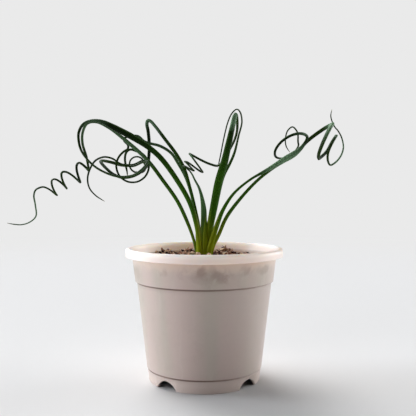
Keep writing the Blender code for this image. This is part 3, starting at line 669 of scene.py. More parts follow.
def drill_drains(pot):
    """Cut the ring of drain holes through the floor."""
    pins = bpy.data.collections.new("drain_pins")
    bpy.context.scene.collection.children.link(pins)
    for hole in range(DRAIN_COUNT):
        bearing = radians(NOTCH_BEARINGS[0] + hole * 360 / DRAIN_COUNT)
        edit = bmesh.new()
        bmesh.ops.create_cone(edit, cap_ends=True, segments=DRAIN_SIDES, radius1=DRAIN_RADIUS,
                              radius2=DRAIN_RADIUS, depth=6 * (FLOOR_TOP_Z - FLOOR_UNDERSIDE_Z))
        mesh = mesh_of("drain_pin", edit)
        across = Vector((cos(bearing), sin(bearing), 0.0)) * DRAIN_RING_RADIUS
        mesh.transform(Matrix.Translation(AXIS + across + Vector((0.0, 0.0, FLOOR_TOP_Z))))
        pins.objects.link(bpy.data.objects.new("drain_pin", mesh))
    cut = pot.modifiers.new("drains", "BOOLEAN")
    cut.operation = "DIFFERENCE"
    cut.operand_type = "COLLECTION"
    cut.collection = pins
    cut.solver = "MANIFOLD"
    freeze(pot)
    clear_away(pins)


def make_pot():
    pot = turned("nursery_pot", pot_profile(), pot_bearings(), pot_plastic(), foot_shape)
    drill_drains(pot)
    pot.data.shade_smooth()
    pot.data.set_sharp_from_angle(angle=radians(40))
    finish_piece(pot, "pot_plastic", "pot")


# Soil

def soil_level(radius):
    """Height of the soil before its heaps and waves: level in the middle and falling to the wall."""
    edge = pot_inner_radius(SOIL_EDGE_Z)
    share = max(0.0, (radius - SOIL_FLAT_RADIUS) / (edge - SOIL_FLAT_RADIUS))
    return SOIL_CENTRE_Z - (SOIL_CENTRE_Z - SOIL_EDGE_Z) * share ** SOIL_FALL


def held(share):
    """A share kept between 0 and 1."""
    return min(1.0, max(0.0, share))


def heap_shares(x, y):
    """How far each heap is present at a place, from 0 to 1."""
    return [exp(-((x / MM - heap_x) ** 2 + (y / MM - heap_y) ** 2) / spread ** 2)
            for heap_x, heap_y, _, spread in BARK_HEAPS]


def soil_height(x, y):
    """Height of the soil's surface: level, heaps of bark and hollows between them, waves and crumbs."""
    radius = (x * x + y * y) ** 0.5
    shares = heap_shares(x, y)
    height = soil_level(radius) + sum(heap[2] * share for heap, share in zip(BARK_HEAPS, shares)) * MM
    behind = held((radius - CLUMP_RADIUS) / HOLLOW_START) * held(y / HOLLOW_BEHIND)
    height -= HOLLOW_DEPTH * behind * (1 - min(1.0, sum(shares)))
    calm = held((pot_inner_radius(SOIL_EDGE_Z) - radius) / CALM_EDGE)
    along, away, slant = SOIL_WAVES
    wave = sin(x / MM * along + SOIL_WAVE_START) * cos(y / MM * away)
    wave += SOIL_SLANT_SHARE * sin((x + SOIL_SLANT * y) / MM * slant)
    crumbs = sum(noise.noise(Vector((x, y, level)) * size) * rise for size, level, rise in SOIL_CRUMBS)
    return height + calm * (SOIL_WAVE_HEIGHT * wave + crumbs) * MM


def soil_shape(x, y, z, bearing):
    if z > SOIL_EDGE_Z - 0.1 * MM:
        return Vector((x, y, soil_height(x, y)))
    return Vector((x, y, z))


def soil_profile():
    edge = pot_inner_radius(SOIL_EDGE_Z) - SOIL_GAP
    floor = FLOOR_TOP_Z + SOIL_GAP
    rings = round(edge / SOIL_RING_STEP)
    top = [(edge * ring / rings, SOIL_CENTRE_Z) for ring in range(rings + 1)]
    side = [
        (edge, SOIL_EDGE_Z - 2 * MM),
        (BAND_FOOT_RADIUS - WALL - 2 * SOIL_GAP, BAND_FOOT_Z + 1.0 * MM),
        (BODY_TOP_RADIUS - WALL - 2 * SOIL_GAP, BAND_FOOT_Z - 1.6 * MM),
        (pot_inner_radius(floor) - 2.2 * MM, floor),
        (0.0, floor),
    ]
    return top + side


def make_soil():
    bearings = [step * SOIL_TURN_STEP for step in range(round(360 / SOIL_TURN_STEP))]
    soil = turned("soil_bed", soil_profile(), bearings, soil_look(), soil_shape)
    # The corner that stands up most beside the axis comes down to the height at the axis
    peak = min(soil.data.vertices, key=lambda corner: (corner.co - AXIS).xy.length - corner.co.z)
    peak.co.z = soil_height(0.0, 0.0)
    soil.data.shade_smooth()
    finish_piece(soil, "soil_mix", "soil_with_bark")
    return soil


# Bark, fibres and crumbs on the soil

def new_tree(name, inputs):
    """A Geometry Nodes tree with a geometry in and out and the named inputs, and its identifiers."""
    tree = bpy.data.node_groups.new(name, "GeometryNodeTree")
    tree.is_modifier = True
    tree.interface.new_socket("Geometry", in_out="INPUT", socket_type="NodeSocketGeometry")
    tree.interface.new_socket("Geometry", in_out="OUTPUT", socket_type="NodeSocketGeometry")
    keys = {}
    for label, kind in inputs.items():
        keys[label] = tree.interface.new_socket(label, in_out="INPUT", socket_type=kind).identifier
    return tree, keys


def end_tree(graph, shape, look):
    """End a tree with plain geometry in its material."""
    plain = graph.out("GeometryNodeRealizeInstances", {"Geometry": shape})
    dressed = graph.out("GeometryNodeSetMaterial", {"Geometry": plain, "Material": look})
    graph.add("NodeGroupOutput", {"Geometry": dressed})


def run_tree(piece, tree, keys, values):
    """Set the tree's inputs by identifier, run it on the piece and keep the plain mesh."""
    grow = piece.modifiers.new(tree.name, "NODES")
    grow.node_group = tree
    for label, value in values.items():
        grow[keys[label]] = value
    return freeze(piece)


def scatter_tree():
    """Spread turned and sized copies of a collection's pieces over a surface."""
    tree, keys = new_tree("scatter", {
        "Pieces": "NodeSocketCollection",
        "Spacing": "NodeSocketFloat",
        "Smallest": "NodeSocketFloat",
        "Largest": "NodeSocketFloat",
        "Tilt": "NodeSocketFloat",
        "Lift": "NodeSocketFloat",
        "Ground": "NodeSocketString",
        "Seed": "NodeSocketInt",
        "Look": "NodeSocketMaterial",
    })
    graph = Graph(tree)
    given = graph.add("NodeGroupInput").outputs
    seed = given["Seed"]

    def drawn(low, high):
        """A random number between two."""
        inputs = {2: low, 3: high, "Seed": seed}
        return graph.add("FunctionNodeRandomValue", inputs, data_type="FLOAT").outputs[1]

    ground = graph.out("GeometryNodeInputNamedAttribute", {"Name": given["Ground"]}, data_type="FLOAT")
    points = graph.out("GeometryNodeDistributePointsOnFaces", {
        "Mesh": given["Geometry"], "Distance Min": given["Spacing"], "Density Max": POINT_DENSITY,
        "Density Factor": ground, "Seed": seed}, distribute_method="POISSON")
    back = graph.times(given["Tilt"], -1.0)
    lean = graph.out("FunctionNodeRandomValue", {
        0: graph.joined(back, back), 1: graph.joined(given["Tilt"], given["Tilt"], 2 * pi), "Seed": seed},
        data_type="FLOAT_VECTOR")
    turn = graph.out("FunctionNodeEulerToRotation", {0: lean})
    chosen = graph.out("GeometryNodeCollectionInfo", {
        "Collection": given["Pieces"], "Separate Children": True, "Reset Children": True})
    offset = graph.joined(z=given["Lift"])
    lifted = graph.out("GeometryNodeSetPosition", {"Geometry": points, "Offset": offset})
    placed = graph.out("GeometryNodeInstanceOnPoints", {
        "Points": lifted, "Instance": chosen, "Pick Instance": True, "Rotation": turn,
        "Scale": drawn(given["Smallest"], given["Largest"])})
    tinted = graph.out("GeometryNodeStoreNamedAttribute", {
        "Geometry": placed, "Name": "tint", "Value": drawn(0.0, 1.0)}, data_type="FLOAT", domain="INSTANCE")
    end_tree(graph, tinted, given["Look"])
    return tree, keys


def hidden_collection(name, meshes):
    """Patterns for a scatter, in a collection that the scene doesn't show."""
    made = bpy.data.collections.new(name)
    for mesh in meshes:
        made.objects.link(bpy.data.objects.new(mesh.name, mesh))
    return made


def splinter(name, seed, length, width, height):
    """A torn chip of bark: a slab narrowed to its ends, with ragged corners."""
    noise.seed_set(seed)
    edit = bmesh.new()
    bmesh.ops.create_grid(edit, x_segments=4, y_segments=2, size=0.5)
    made = bmesh.ops.extrude_face_region(edit, geom=list(edit.faces))
    for corner in made["geom"]:
        if isinstance(corner, bmesh.types.BMVert):
            corner.co.z += 1.0
    for corner in edit.verts:
        rag = noise.noise_vector(corner.co * 2.3 + Vector((seed * 7.1, seed * 3.3, 0.0)))
        slim = 1.0 - 1.1 * abs(corner.co.x) ** 1.6
        corner.co.y *= max(0.25, slim)
        corner.co.z = (corner.co.z - 0.5) * max(0.3, slim)
        corner.co = Vector((
            (corner.co.x + 0.16 * rag.x) * length,
            (corner.co.y + 0.26 * rag.y) * width + 0.12 * sin(corner.co.x * 4 + seed) * width,
            (corner.co.z + 0.30 * rag.z) * height,
        ))
    bmesh.ops.recalc_face_normals(edit, faces=edit.faces)
    return mesh_of(name, edit)


def fibre(name, bend, twist, length, radius, sides=4, steps=7):
    """A short curved strand of coir, slimmer at its ends."""
    edit = bmesh.new()
    rings = []
    for step in range(steps + 1):
        share = step / steps - 0.5
        aside = bend * (share * share - 0.1) * length
        spot = Vector((share * length, aside, twist * sin(share * 5) * length))
        slim = max(0.3 * radius, radius * (1.0 - 6.4 * share ** 4))
        turns = [2 * pi * side / sides for side in range(sides)]
        rings.append([edit.verts.new(spot + Vector((0.0, cos(turn), sin(turn))) * slim) for turn in turns])
    for low, high in zip(rings, rings[1:]):
        for side in range(sides):
            after = (side + 1) % sides
            edit.faces.new((low[side], low[after], high[after], high[side]))
    edit.faces.new(rings[0])
    edit.faces.new(rings[-1])
    bmesh.ops.recalc_face_normals(edit, faces=edit.faces)
    return mesh_of(name, edit)


def crumb(name, seed):
    """A grain of soil about a millimetre across."""
    edit = bmesh.new()
    bmesh.ops.create_icosphere(edit, subdivisions=1, radius=0.5 * MM)
    for corner in edit.verts:
        corner.co *= 1.0 + 0.5 * noise.noise(corner.co / MM * 1.7 + Vector((seed, 0.0, 0.0)))
    return mesh_of(name, edit)


def soil_top(soil):
    """A copy of the soil's upper faces, marked with how freely things lie there."""
    edit = bmesh.new()
    edit.from_mesh(soil.data)
    under = [face for face in edit.faces if face.calc_center_median().z < SOIL_EDGE_Z - 1.5 * MM]
    bmesh.ops.delete(edit, geom=under, context="FACES")
    mesh = mesh_of("soil_top", edit)
    free = mesh.attributes.new("open_ground", "FLOAT", "POINT")
    heaped = mesh.attributes.new("heaped", "FLOAT", "POINT")
    for number, corner in enumerate(mesh.vertices):
        place = corner.co - AXIS
        near_clump = abs(place.x) < CLEAR_ASIDE and -CLEAR_IN_FRONT < place.y < 0
        open_here = CLUMP_RADIUS < place.xy.length < pot_inner_radius(SOIL_EDGE_Z) - BARE_EDGE
        free.data[number].value = float(open_here)
        share = min(1.0, held(1.0 - place.y / FRONT_FADE) + 1.4 * sum(heap_shares(place.x, place.y)) ** 1.5)
        heaped.data[number].value = share if open_here and not near_clump else 0.0
    return mesh


def scatter(name, surface, pieces, look, tree, keys, **values):
    """Strew a collection's pieces over the surface as one piece, with the tree's other inputs by name."""
    strewn = new_piece(name, surface.copy())
    settings = {"Pieces": pieces, "Look": look}
    settings.update({label.capitalize(): value for label, value in values.items()})
    run_tree(strewn, tree, keys, settings)
    clear_away(pieces)
    finish_piece(strewn, "soil_mix")


def make_bark(soil):
    ground = soil_top(soil)
    look = bark_look()
    tree, keys = scatter_tree()
    chips = hidden_collection("chip_patterns", [
        splinter("chip_long", 1, 8.0 * MM, 2.6 * MM, 1.5 * MM),
        splinter("chip_broad", 2, 6.0 * MM, 4.0 * MM, 1.7 * MM),
        splinter("chip_thin", 3, 9.0 * MM, 1.5 * MM, 1.1 * MM),
        splinter("chip_block", 4, 4.6 * MM, 3.4 * MM, 2.6 * MM),
    ])
    scatter("bark_chips", ground, chips, look, tree, keys, ground="heaped",
            spacing=2.6 * MM, smallest=0.5, largest=1.15, tilt=0.75, lift=0.6 * MM, seed=5)
    slivers = hidden_collection("sliver_patterns", [
        splinter("sliver_long", 5, 7.5 * MM, 2.4 * MM, 1.2 * MM),
        splinter("sliver_block", 6, 5.2 * MM, 3.6 * MM, 2.4 * MM),
    ])
    scatter("bark_slivers", ground, slivers, look, tree, keys, ground="heaped",
            spacing=4.8 * MM, smallest=0.6, largest=1.15, tilt=1.25, lift=1.5 * MM, seed=21)
    strands = hidden_collection("fibre_patterns", [
        fibre("strand_bent", 0.9, 0.05, 9.0 * MM, 0.16 * MM),
        fibre("strand_wavy", 0.3, 0.12, 12.0 * MM, 0.14 * MM),
        fibre("strand_short", 1.3, 0.08, 6.0 * MM, 0.20 * MM),
    ])
    scatter("coir_fibres", ground, strands, look, tree, keys, ground="heaped",
            spacing=3.4 * MM, smallest=0.5, largest=1.2, tilt=0.6, lift=1.3 * MM, seed=9)
    grains = hidden_collection("crumb_patterns", [crumb("crumb_one", 1), crumb("crumb_two", 4)])
    scatter("soil_crumbs", ground, grains, look, tree, keys, ground="open_ground",
            spacing=1.3 * MM, smallest=0.7, largest=2.2, tilt=3.0, lift=0.2 * MM, seed=13)


# Leaf routes, in millimetres from the foot of the pot's axis

def seat(ring, bearing):
    """The two lowest points of a leaf: its foot on the bulb and its collar at the soil's surface."""
    x = ring * cos(radians(bearing))
    y = ring * sin(radians(bearing))
    return [(x, y, LEAF_FOOT_Z), (x, y, LEAF_COLLAR_Z)]


def coil(turning_points, axis, hand):
    """Half turns of a helix that swing from each turning point to the next round the axis."""
    axis = np.array(axis, float)
    axis /= np.linalg.norm(axis)
    corners = [np.array(point, float) for point in turning_points]
    points = [corners[0]]
    for start, end in zip(corners, corners[1:]):
        step = end - start
        along = axis * step.dot(axis)
        across = step - along
        deep = 0.5 * hand * np.cross(axis, across)
        for part in range(1, 6):
            turn = pi * part / 5
            points.append(start + across * (1 - cos(turn)) / 2 + along * turn / pi + deep * sin(turn))
    return [tuple(point) for point in points]


def long_left_route():
    stem = seat(OUTER_RING, 180) + [
        (-8.5, 1, 111), (-15.5, 2.5, 129.5), (-22, 3, 142.5), (-32.5, 2.5, 157.5), (-45, 1.5, 174),
        (-59.5, 0.5, 187.4), (-76, 0, 199.8), (-86, 0, 204.4), (-93.2, 0, 203.2), (-96.9, 0, 196),
        (-97.2, 1, 187), (-94.6, 3, 177)]
    turns = coil([(-93.6, 8, 166), (-102, 10, 172.4), (-101, 10, 156.5), (-115, 10, 165), (-112, 10, 151.5),
                  (-123, 10, 159), (-120, 10, 146), (-133, 10, 152.5)], (-0.83, 0.07, -0.52), 1)
    tail = [(-136.8, 8.5, 150.4), (-138, 7, 146), (-137, 7.5, 138), (-137, 9, 129), (-142.5, 10, 124),
            (-149, 10, 122), (-155, 10, 122.3), (-161, 10, 123.3)]
    return stem + turns + tail


def arched_left_route():
    stem = seat(OUTER_RING, 235) + [
        (-4, -6, 108), (-6, -6.5, 122), (-11, -6.5, 139), (-19, -6.5, 154), (-33.5, -7, 174.5),
        (-43.5, -8, 183.5), (-57, -9, 191.9), (-69, -11, 198.2), (-79, -12, 203.1), (-86, -13, 204),
        (-93, -14, 201.5), (-96.5, -16, 195), (-96.3, -18, 188), (-93.6, -21, 180)]
    loop = [(-85.5, -27, 170.5), (-75.5, -33, 164), (-63.5, -36, 160), (-53, -33, 161), (-46, -27, 166.5),
            (-43.5, -19, 172), (-48, -9, 172), (-57, -4, 169), (-66.5, -4.5, 171), (-72, -7, 174.8),
            (-78, -10, 176), (-84, -15, 173), (-87.5, -20, 166), (-88.5, -24, 158.5), (-86.5, -27, 151.5),
            (-81.5, -29, 146), (-74.5, -30, 141.5)]
    return stem + loop


def high_left_route():
    stem = seat(INNER_RING, 200) + [
        (-3, -0.8, 110), (-4, -0.6, 120), (-7.5, 0.8, 136.5), (-11.5, 4, 152), (-16, 7, 167),
        (-22.5, 10, 179), (-31.5, 15, 191), (-41, 20, 203.4), (-44.5, 21, 207.2), (-46.9, 21.7, 208),
        (-47.8, 22, 205), (-46.9, 22, 200), (-46, 22, 191), (-46, 21, 180)]
    loop = [(-47, 18, 171.5), (-51.5, 9, 165), (-58.5, 2.5, 161), (-66, 0, 160.3), (-73, 2, 163),
            (-80, 8, 168.3), (-85.3, 16, 173.5), (-85, 25, 174.8), (-79, 31, 173.8), (-70, 33, 171.5),
            (-60, 32, 171.5), (-51, 30, 175)]
    small = coil([(-49.5, 29, 172), (-63, 27, 171.5), (-50.5, 25, 172.5), (-57, 24.5, 166)], (0, 1, 0), -1)
    return stem + loop + small


def back_left_route():
    stem = seat(OUTER_RING, 118) + [
        (-4.3, 7.2, 110), (-8.5, 10.5, 138), (-15, 13.5, 160), (-21.5, 14.5, 172), (-27, 14, 180.3),
        (-36, 11, 186), (-44, 8.5, 188), (-48.5, 7.5, 189.5), (-53.5, 6.5, 193.6), (-58.8, 6, 193.7),
        (-63.4, 5.5, 192.6), (-64.6, 5, 190.2), (-61.3, 5, 186.2), (-61.8, 5.5, 183.2), (-65, 6, 181.2),
        (-69.3, 6.6, 176.5)]
    turns = coil([(-71.2, 7, 169.5), (-45, 8.5, 169.5)], (0, 1, 0), 1)
    tail = [(-48.5, 9.5, 178), (-55.7, 10.5, 182), (-60.5, 11, 183.2), (-63.6, 11.5, 181), (-64.8, 12, 176.3),
            (-64.2, 12, 170.6), (-63.1, 12, 165), (-62.8, 12, 161)]
    return stem + turns + tail


def short_centre_route():
    return seat(INNER_RING, 80) + [
        (0, 5, 110), (-0.3, 9, 121), (-0.7, 14, 136.5), (-4, 19, 151), (-8, 22.5, 158.7),
        (-11, 25, 164.5), (-15, 27, 169), (-18, 28, 171)]


def tall_centre_route():
    stem = seat(INNER_RING, 300) + [
        (2.5, -3, 107), (6, -4, 127.5), (9.3, -5.5, 145), (12, -7, 158), (15.8, -8, 171),
        (19.1, -10, 185.6), (22.1, -11, 199), (24, -9.5, 207.5), (25.3, -5, 209.5), (26.2, -1, 205),
        (26.2, 1, 198), (24.5, 2, 191), (20, 2.5, 182), (15.5, 2.5, 174), (10.8, 2.8, 169.8),
        (4.8, 3.5, 171), (-2.5, 3, 174.2)]
    turns = coil([(-11.3, -1, 178.8), (-1.3, -1, 164.6), (-15.3, -3, 172.7), (-8, -3, 165.6),
                  (-16.7, -4, 169.2), (-9.6, -4, 163.9)], (-0.7, 0, -0.55), 1)
    return stem + turns


def thin_centre_route():
    return seat(OUTER_RING, 57) + [
        (4, 7, 110), (9, 10, 134), (15.5, 12.5, 161), (21, 14, 172), (24.7, 15, 180.7),
        (28.2, 16, 195), (30.8, 15, 206), (29.3, 12, 213.5), (26.2, 8, 215.5), (22.1, 5, 211.7),
        (18.9, 4.5, 204.5), (16, 6, 193), (13, 8, 177.7), (11, 9, 168.4)]


def upper_right_route():
    stem = seat(OUTER_RING, 302) + [
        (5, -5.8, 106), (10, -6.5, 122), (15, -7.5, 134.8), (23, -9.5, 147.2), (35.5, -12, 158),
        (49.1, -13, 165.8), (61.2, -13, 173), (71.2, -12, 178.9), (77.5, -11, 185.2)]
    turns = coil([(80.2, -12, 191.2), (56, -8, 176.5), (73, -12, 188)], (-0.43, 0.55, 0.7), 1)
    last = [(72.7, -11, 195), (69, -9.5, 199.5), (65.3, -8.5, 196.5), (63.7, -8, 190), (64.3, -8, 184.5),
            (67.3, -8.5, 179.5)]
    return stem + turns + last


def outer_right_route():
    stem = seat(OUTER_RING, 0) + [
        (7.4, 0.5, 106), (11.7, 2, 115.2), (17.4, 3, 128), (27.7, 4, 142), (43, 6, 158.3),
        (55, 7, 167.7), (73.2, 9, 179.3), (84.1, 12, 190.5), (94.8, 13.5, 198.6), (100.8, 12.6, 202.4)]
    fall = coil([(103.5, 10, 203.6), (93.4, 12, 175.9)], (0.84, -0.21, -0.51), -1)
    rise = [(96.8, 16.5, 178), (100.2, 19.5, 180.8), (102.9, 21, 184.2), (105.4, 21, 189), (107.3, 18, 192.8),
            (107.9, 13, 194.7)]
    last = [(106.1, 8, 192.9), (103.2, 5, 188.6), (101.1, 4, 184.5), (99.8, 5, 180.5), (99.9, 8, 176.6),
            (101.3, 12, 172.8), (103.6, 15, 170.7)]
    tail = [(107.6, 17.5, 172.6), (111.8, 20, 176.5), (114.7, 22, 181.2), (115.9, 23, 186.6),
            (114.2, 22, 193.7), (111, 20, 198.9), (107, 17.5, 203), (103.9, 16, 210.8), (104.8, 16, 216.6)]
    return stem + fall + rise + last + tail


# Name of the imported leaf, route, plumpness and blade widths in millimetres at shares of the length
LEAVES = (
    ("leaf_long_left", long_left_route, 0.72,
     ((0.0, 4.3), (0.05, 2.9), (0.08, 3.4), (0.15, 4.7), (0.24, 5.0), (0.29, 4.4), (0.34, 2.6), (0.45, 2.4),
      (0.55, 1.9), (0.85, 1.5), (1.0, 0.85))),
    ("leaf_arched_left", arched_left_route, 0.50,
     ((0.0, 4.5), (0.05, 4.2), (0.12, 4.0), (0.2, 4.2), (0.3, 4.6), (0.35, 5.4), (0.385, 5.0),
      (0.43, 2.4), (0.55, 2.0), (0.62, 2.3), (0.78, 2.3), (0.86, 1.7), (0.95, 1.2), (1.0, 0.85))),
    ("leaf_high_left", high_left_route, 0.65,
     ((0.0, 3.4), (0.12, 3.0), (0.24, 3.3), (0.34, 3.2), (0.42, 2.8), (0.6, 2.3), (0.68, 2.5), (0.76, 3.2),
      (0.8, 2.9), (0.87, 1.9), (1.0, 1.2))),
    ("leaf_back_left", back_left_route, 0.55,
     ((0.0, 4.0), (0.1, 2.9), (0.15, 2.5), (0.4, 2.4), (0.55, 1.9), (0.75, 1.5), (0.85, 1.9),
      (0.95, 1.9), (1.0, 1.3))),
    ("leaf_short_centre", short_centre_route, 0.40,
     ((0.0, 3.6), (0.3, 5.3), (0.5, 4.7), (0.65, 2.7), (0.75, 1.9), (0.85, 1.5), (1.0, 0.85))),
    ("leaf_tall_centre", tall_centre_route, 0.45,
     ((0.0, 3.6), (0.1, 5.9), (0.16, 6.3), (0.22, 7.0), (0.27, 6.8), (0.31, 5.8), (0.41, 4.0), (0.48, 2.7),
      (0.65, 2.3), (0.85, 1.7), (1.0, 0.85))),
    ("leaf_thin_centre", thin_centre_route, 0.55,
     ((0.0, 4.3), (0.2, 3.2), (0.4, 2.6), (0.5, 2.2), (0.58, 1.6), (0.65, 1.3), (0.8, 1.15), (1.0, 0.95))),
    ("leaf_upper_right", upper_right_route, 0.55,
     ((0.0, 4.5), (0.1, 4.6), (0.2, 2.9), (0.25, 2.3), (0.3, 1.9), (0.34, 2.0), (0.39, 3.2), (0.42, 4.0),
      (0.45, 5.4), (0.475, 5.2), (0.5, 3.6), (0.53, 2.4), (0.7, 1.9), (0.85, 1.4), (1.0, 0.85))),
    ("leaf_outer_right", outer_right_route, 0.75,
     ((0.0, 4.3), (0.12, 3.9), (0.2, 3.2), (0.3, 2.9), (0.38, 3.2), (0.43, 4.2), (0.47, 4.2), (0.53, 3.1),
      (0.6, 2.7), (0.7, 2.5), (0.8, 1.8), (0.9, 1.2), (1.0, 0.85))),
)


# Pale wax and painted sheen on the leaves' crests: shares of the length and amounts
WAXY_AND_SHEEN_STRETCHES = {
    "blade_long_left": ((0.22, 0.0), (0.27, 0.25), (0.31, 0.25), (0.41, 0.25), (0.46, 0.0),
                        (0.86, 0.0), (0.90, 0.35), (0.97, 0.30), (1.0, 0.1)),
    "blade_arched_left": ((0.40, 0.0), (0.44, 0.25), (0.47, 0.0), (0.60, 0.0), (0.68, 0.15), (0.75, 0.0)),
    "blade_high_left": ((0.34, 0.0), (0.37, 0.30), (0.40, 0.45), (0.42, 0.0)),
    "blade_back_left": ((0.08, 0.0), (0.16, 0.25), (0.30, 0.25), (0.50, 0.15), (0.55, 0.0)),
    "blade_short_centre": ((0.25, 0.0), (0.50, 0.25), (0.80, 0.45), (1.0, 0.35)),
    "blade_tall_centre": ((0.37, 0.0), (0.395, 0.50), (0.42, 0.40), (0.44, 0.0),
                          (0.68, 0.0), (0.70, 0.4), (0.72, 0.0)),
    "blade_upper_right": ((0.35, 0.0), (0.39, 0.45), (0.45, 0.55), (0.50, 0.30), (0.53, 0.0),
                          (0.57, 0.2), (0.62, 0.0)),
    "blade_outer_right": ((0.28, 0.0), (0.31, 0.30), (0.35, 0.30), (0.38, 0.0), (0.455, 0.0),
                          (0.48, 0.60), (0.53, 0.30), (0.56, 0.0), (0.70, 0.0), (0.715, 0.60), (0.735, 0.15),
                          (0.75, 0.0), (0.82, 0.0), (0.85, 0.50), (0.90, 0.40), (0.925, 0.0)),
}

NO_WAX_OR_SHEEN = ((0.0, 0.0),)

# How yellow a leaf's foot is, where it is less than in the clump
YELLOW_FEET = {"blade_long_left": 0.25, "blade_outer_right": 0.7}

# Short sheaths round the clump's foot: bearing, distance out and height of the top, and width, in millimetres
SHEATHS = (
    (283, 6.2, 130, 5.0),
    (238, 8.0, 117, 4.8),
    (318, 9.0, 118, 4.8),
    (205, 7.0, 112, 4.2),
    (150, 8.0, 116, 4.6),
    (95, 9.0, 122, 4.8),
    (40, 7.5, 114, 4.4),
)


def smooth_curve(points, fine=14):
    """Centripetal Catmull-Rom curve through the points."""
    route = np.array(points, float)
    route = np.vstack([2 * route[0] - route[1], route, 2 * route[-1] - route[-2]])
    curve = []
    for first in range(len(route) - 3):
        p0, p1, p2, p3 = route[first:first + 4]
        t1 = np.linalg.norm(p1 - p0) ** 0.5
        t2 = t1 + np.linalg.norm(p2 - p1) ** 0.5
        t3 = t2 + np.linalg.norm(p3 - p2) ** 0.5
        for t in np.linspace(t1, t2, fine, endpoint=False):
            a1 = (t1 - t) / t1 * p0 + t / t1 * p1
            a2 = (t2 - t) / (t2 - t1) * p1 + (t - t1) / (t2 - t1) * p2
            a3 = (t3 - t) / (t3 - t2) * p2 + (t - t2) / (t3 - t2) * p3
            b1 = (t2 - t) / t2 * a1 + t / t2 * a2
            b2 = (t3 - t) / (t3 - t1) * a2 + (t - t1) / (t3 - t1) * a3
            curve.append((t2 - t) / (t2 - t1) * b1 + (t - t1) / (t2 - t1) * b2)
    curve.append(route[-2])
    return np.array(curve)


def even_stations(curve):
    """Evenly spaced places along the curve and their distance from its foot."""
    travelled = np.concatenate([[0.0], np.cumsum(np.linalg.norm(np.diff(curve, axis=0), axis=1))])
    count = int(travelled[-1] / STATION_STEP) + 1
    reach = np.linspace(0.0, travelled[-1], count)
    return np.column_stack([np.interp(reach, travelled, curve[:, axis]) for axis in range(3)]), reach


def blade_frames(places, facing):
    """Way along the blade and the way its channelled face looks, carried along without spin."""
    ways = np.gradient(places, axis=0)
    ways /= np.linalg.norm(ways, axis=1)[:, None]
    faces = []
    face = np.array(facing, float)
    for way in ways:
        face = face - way * face.dot(way)
        face /= np.linalg.norm(face)
        faces.append(face)
    return ways, np.array(faces)


def blade_thickness(width, plumpness, height):
    """Thickness from the width, held down where the leaves stand close together at the soil."""
    swell = np.clip((height - LEAF_COLLAR_Z) / SWELL_HEIGHT, 0.0, 1.0)
    most = COLLAR_THICKNESS + (BLADE_THICKNESS - COLLAR_THICKNESS) * swell
    thick = np.minimum(most, TIP_THICKNESS + plumpness * (width - TIP_THICKNESS))
    return np.minimum(thick, width)


def sheath_route(bearing, out, top):
    """Midline of a sheath that hugs the clump and ends free."""
    turn = radians(bearing)
    middle = 0.6 * OUTER_RING + 0.4 * out
    steps = ((OUTER_RING - 1, LEAF_FOOT_Z), (OUTER_RING, LEAF_COLLAR_Z),
             (middle, (LEAF_COLLAR_Z + top) / 2), (out, top))
    return [(ring * cos(turn), ring * sin(turn), z) for ring, z in steps]


def along_leaf(reach, table):
    """A value at each place along the leaf, from a table of shares of the length and values."""
    return np.interp(reach / reach[-1], [share for share, _ in table], [value for _, value in table])


def leaf_line(name, points, plumpness, widths):
    """The leaf's midline as a chain of edges that carries its frame and section, in metres."""
    places, reach = even_stations(smooth_curve(points))
    ways, faces = blade_frames(places, (-points[0][0], -points[0][1], 0.0))
    left = reach[-1] - reach
    taper = np.minimum(1.0, TIP_SHARE + (1 - TIP_SHARE) * (left / TIP_TAPER) ** 0.6)
    width = along_leaf(reach, widths) * taper
    thick = blade_thickness(width, plumpness, places[:, 2])
    channel = CHANNEL_SHARE * np.maximum(0.0, width - ROUND_BELOW)
    count = len(places)
    mesh = bpy.data.meshes.new(name)
    corners = [AXIS + Vector(place) * MM for place in places]
    mesh.from_pydata(corners, [(n, n + 1) for n in range(count - 1)], [])
    for label, values in (("way", ways), ("facing", faces)):
        mesh.attributes.new(label, "FLOAT_VECTOR", "POINT").data.foreach_set("vector", values.ravel())
    numbers = {
        "width": width * MM, "thick": thick * MM, "channel": channel * MM,
        "reach": reach * MM, "left_to_tip": left * MM,
        "wax": along_leaf(reach, WAXY_AND_SHEEN_STRETCHES.get(name, NO_WAX_OR_SHEEN)),
        "yellow": np.full(count, YELLOW_FEET.get(name, 1.0)),
    }
    for label, values in numbers.items():
        mesh.attributes.new(label, "FLOAT", "POINT").data.foreach_set("value", values)
    return mesh


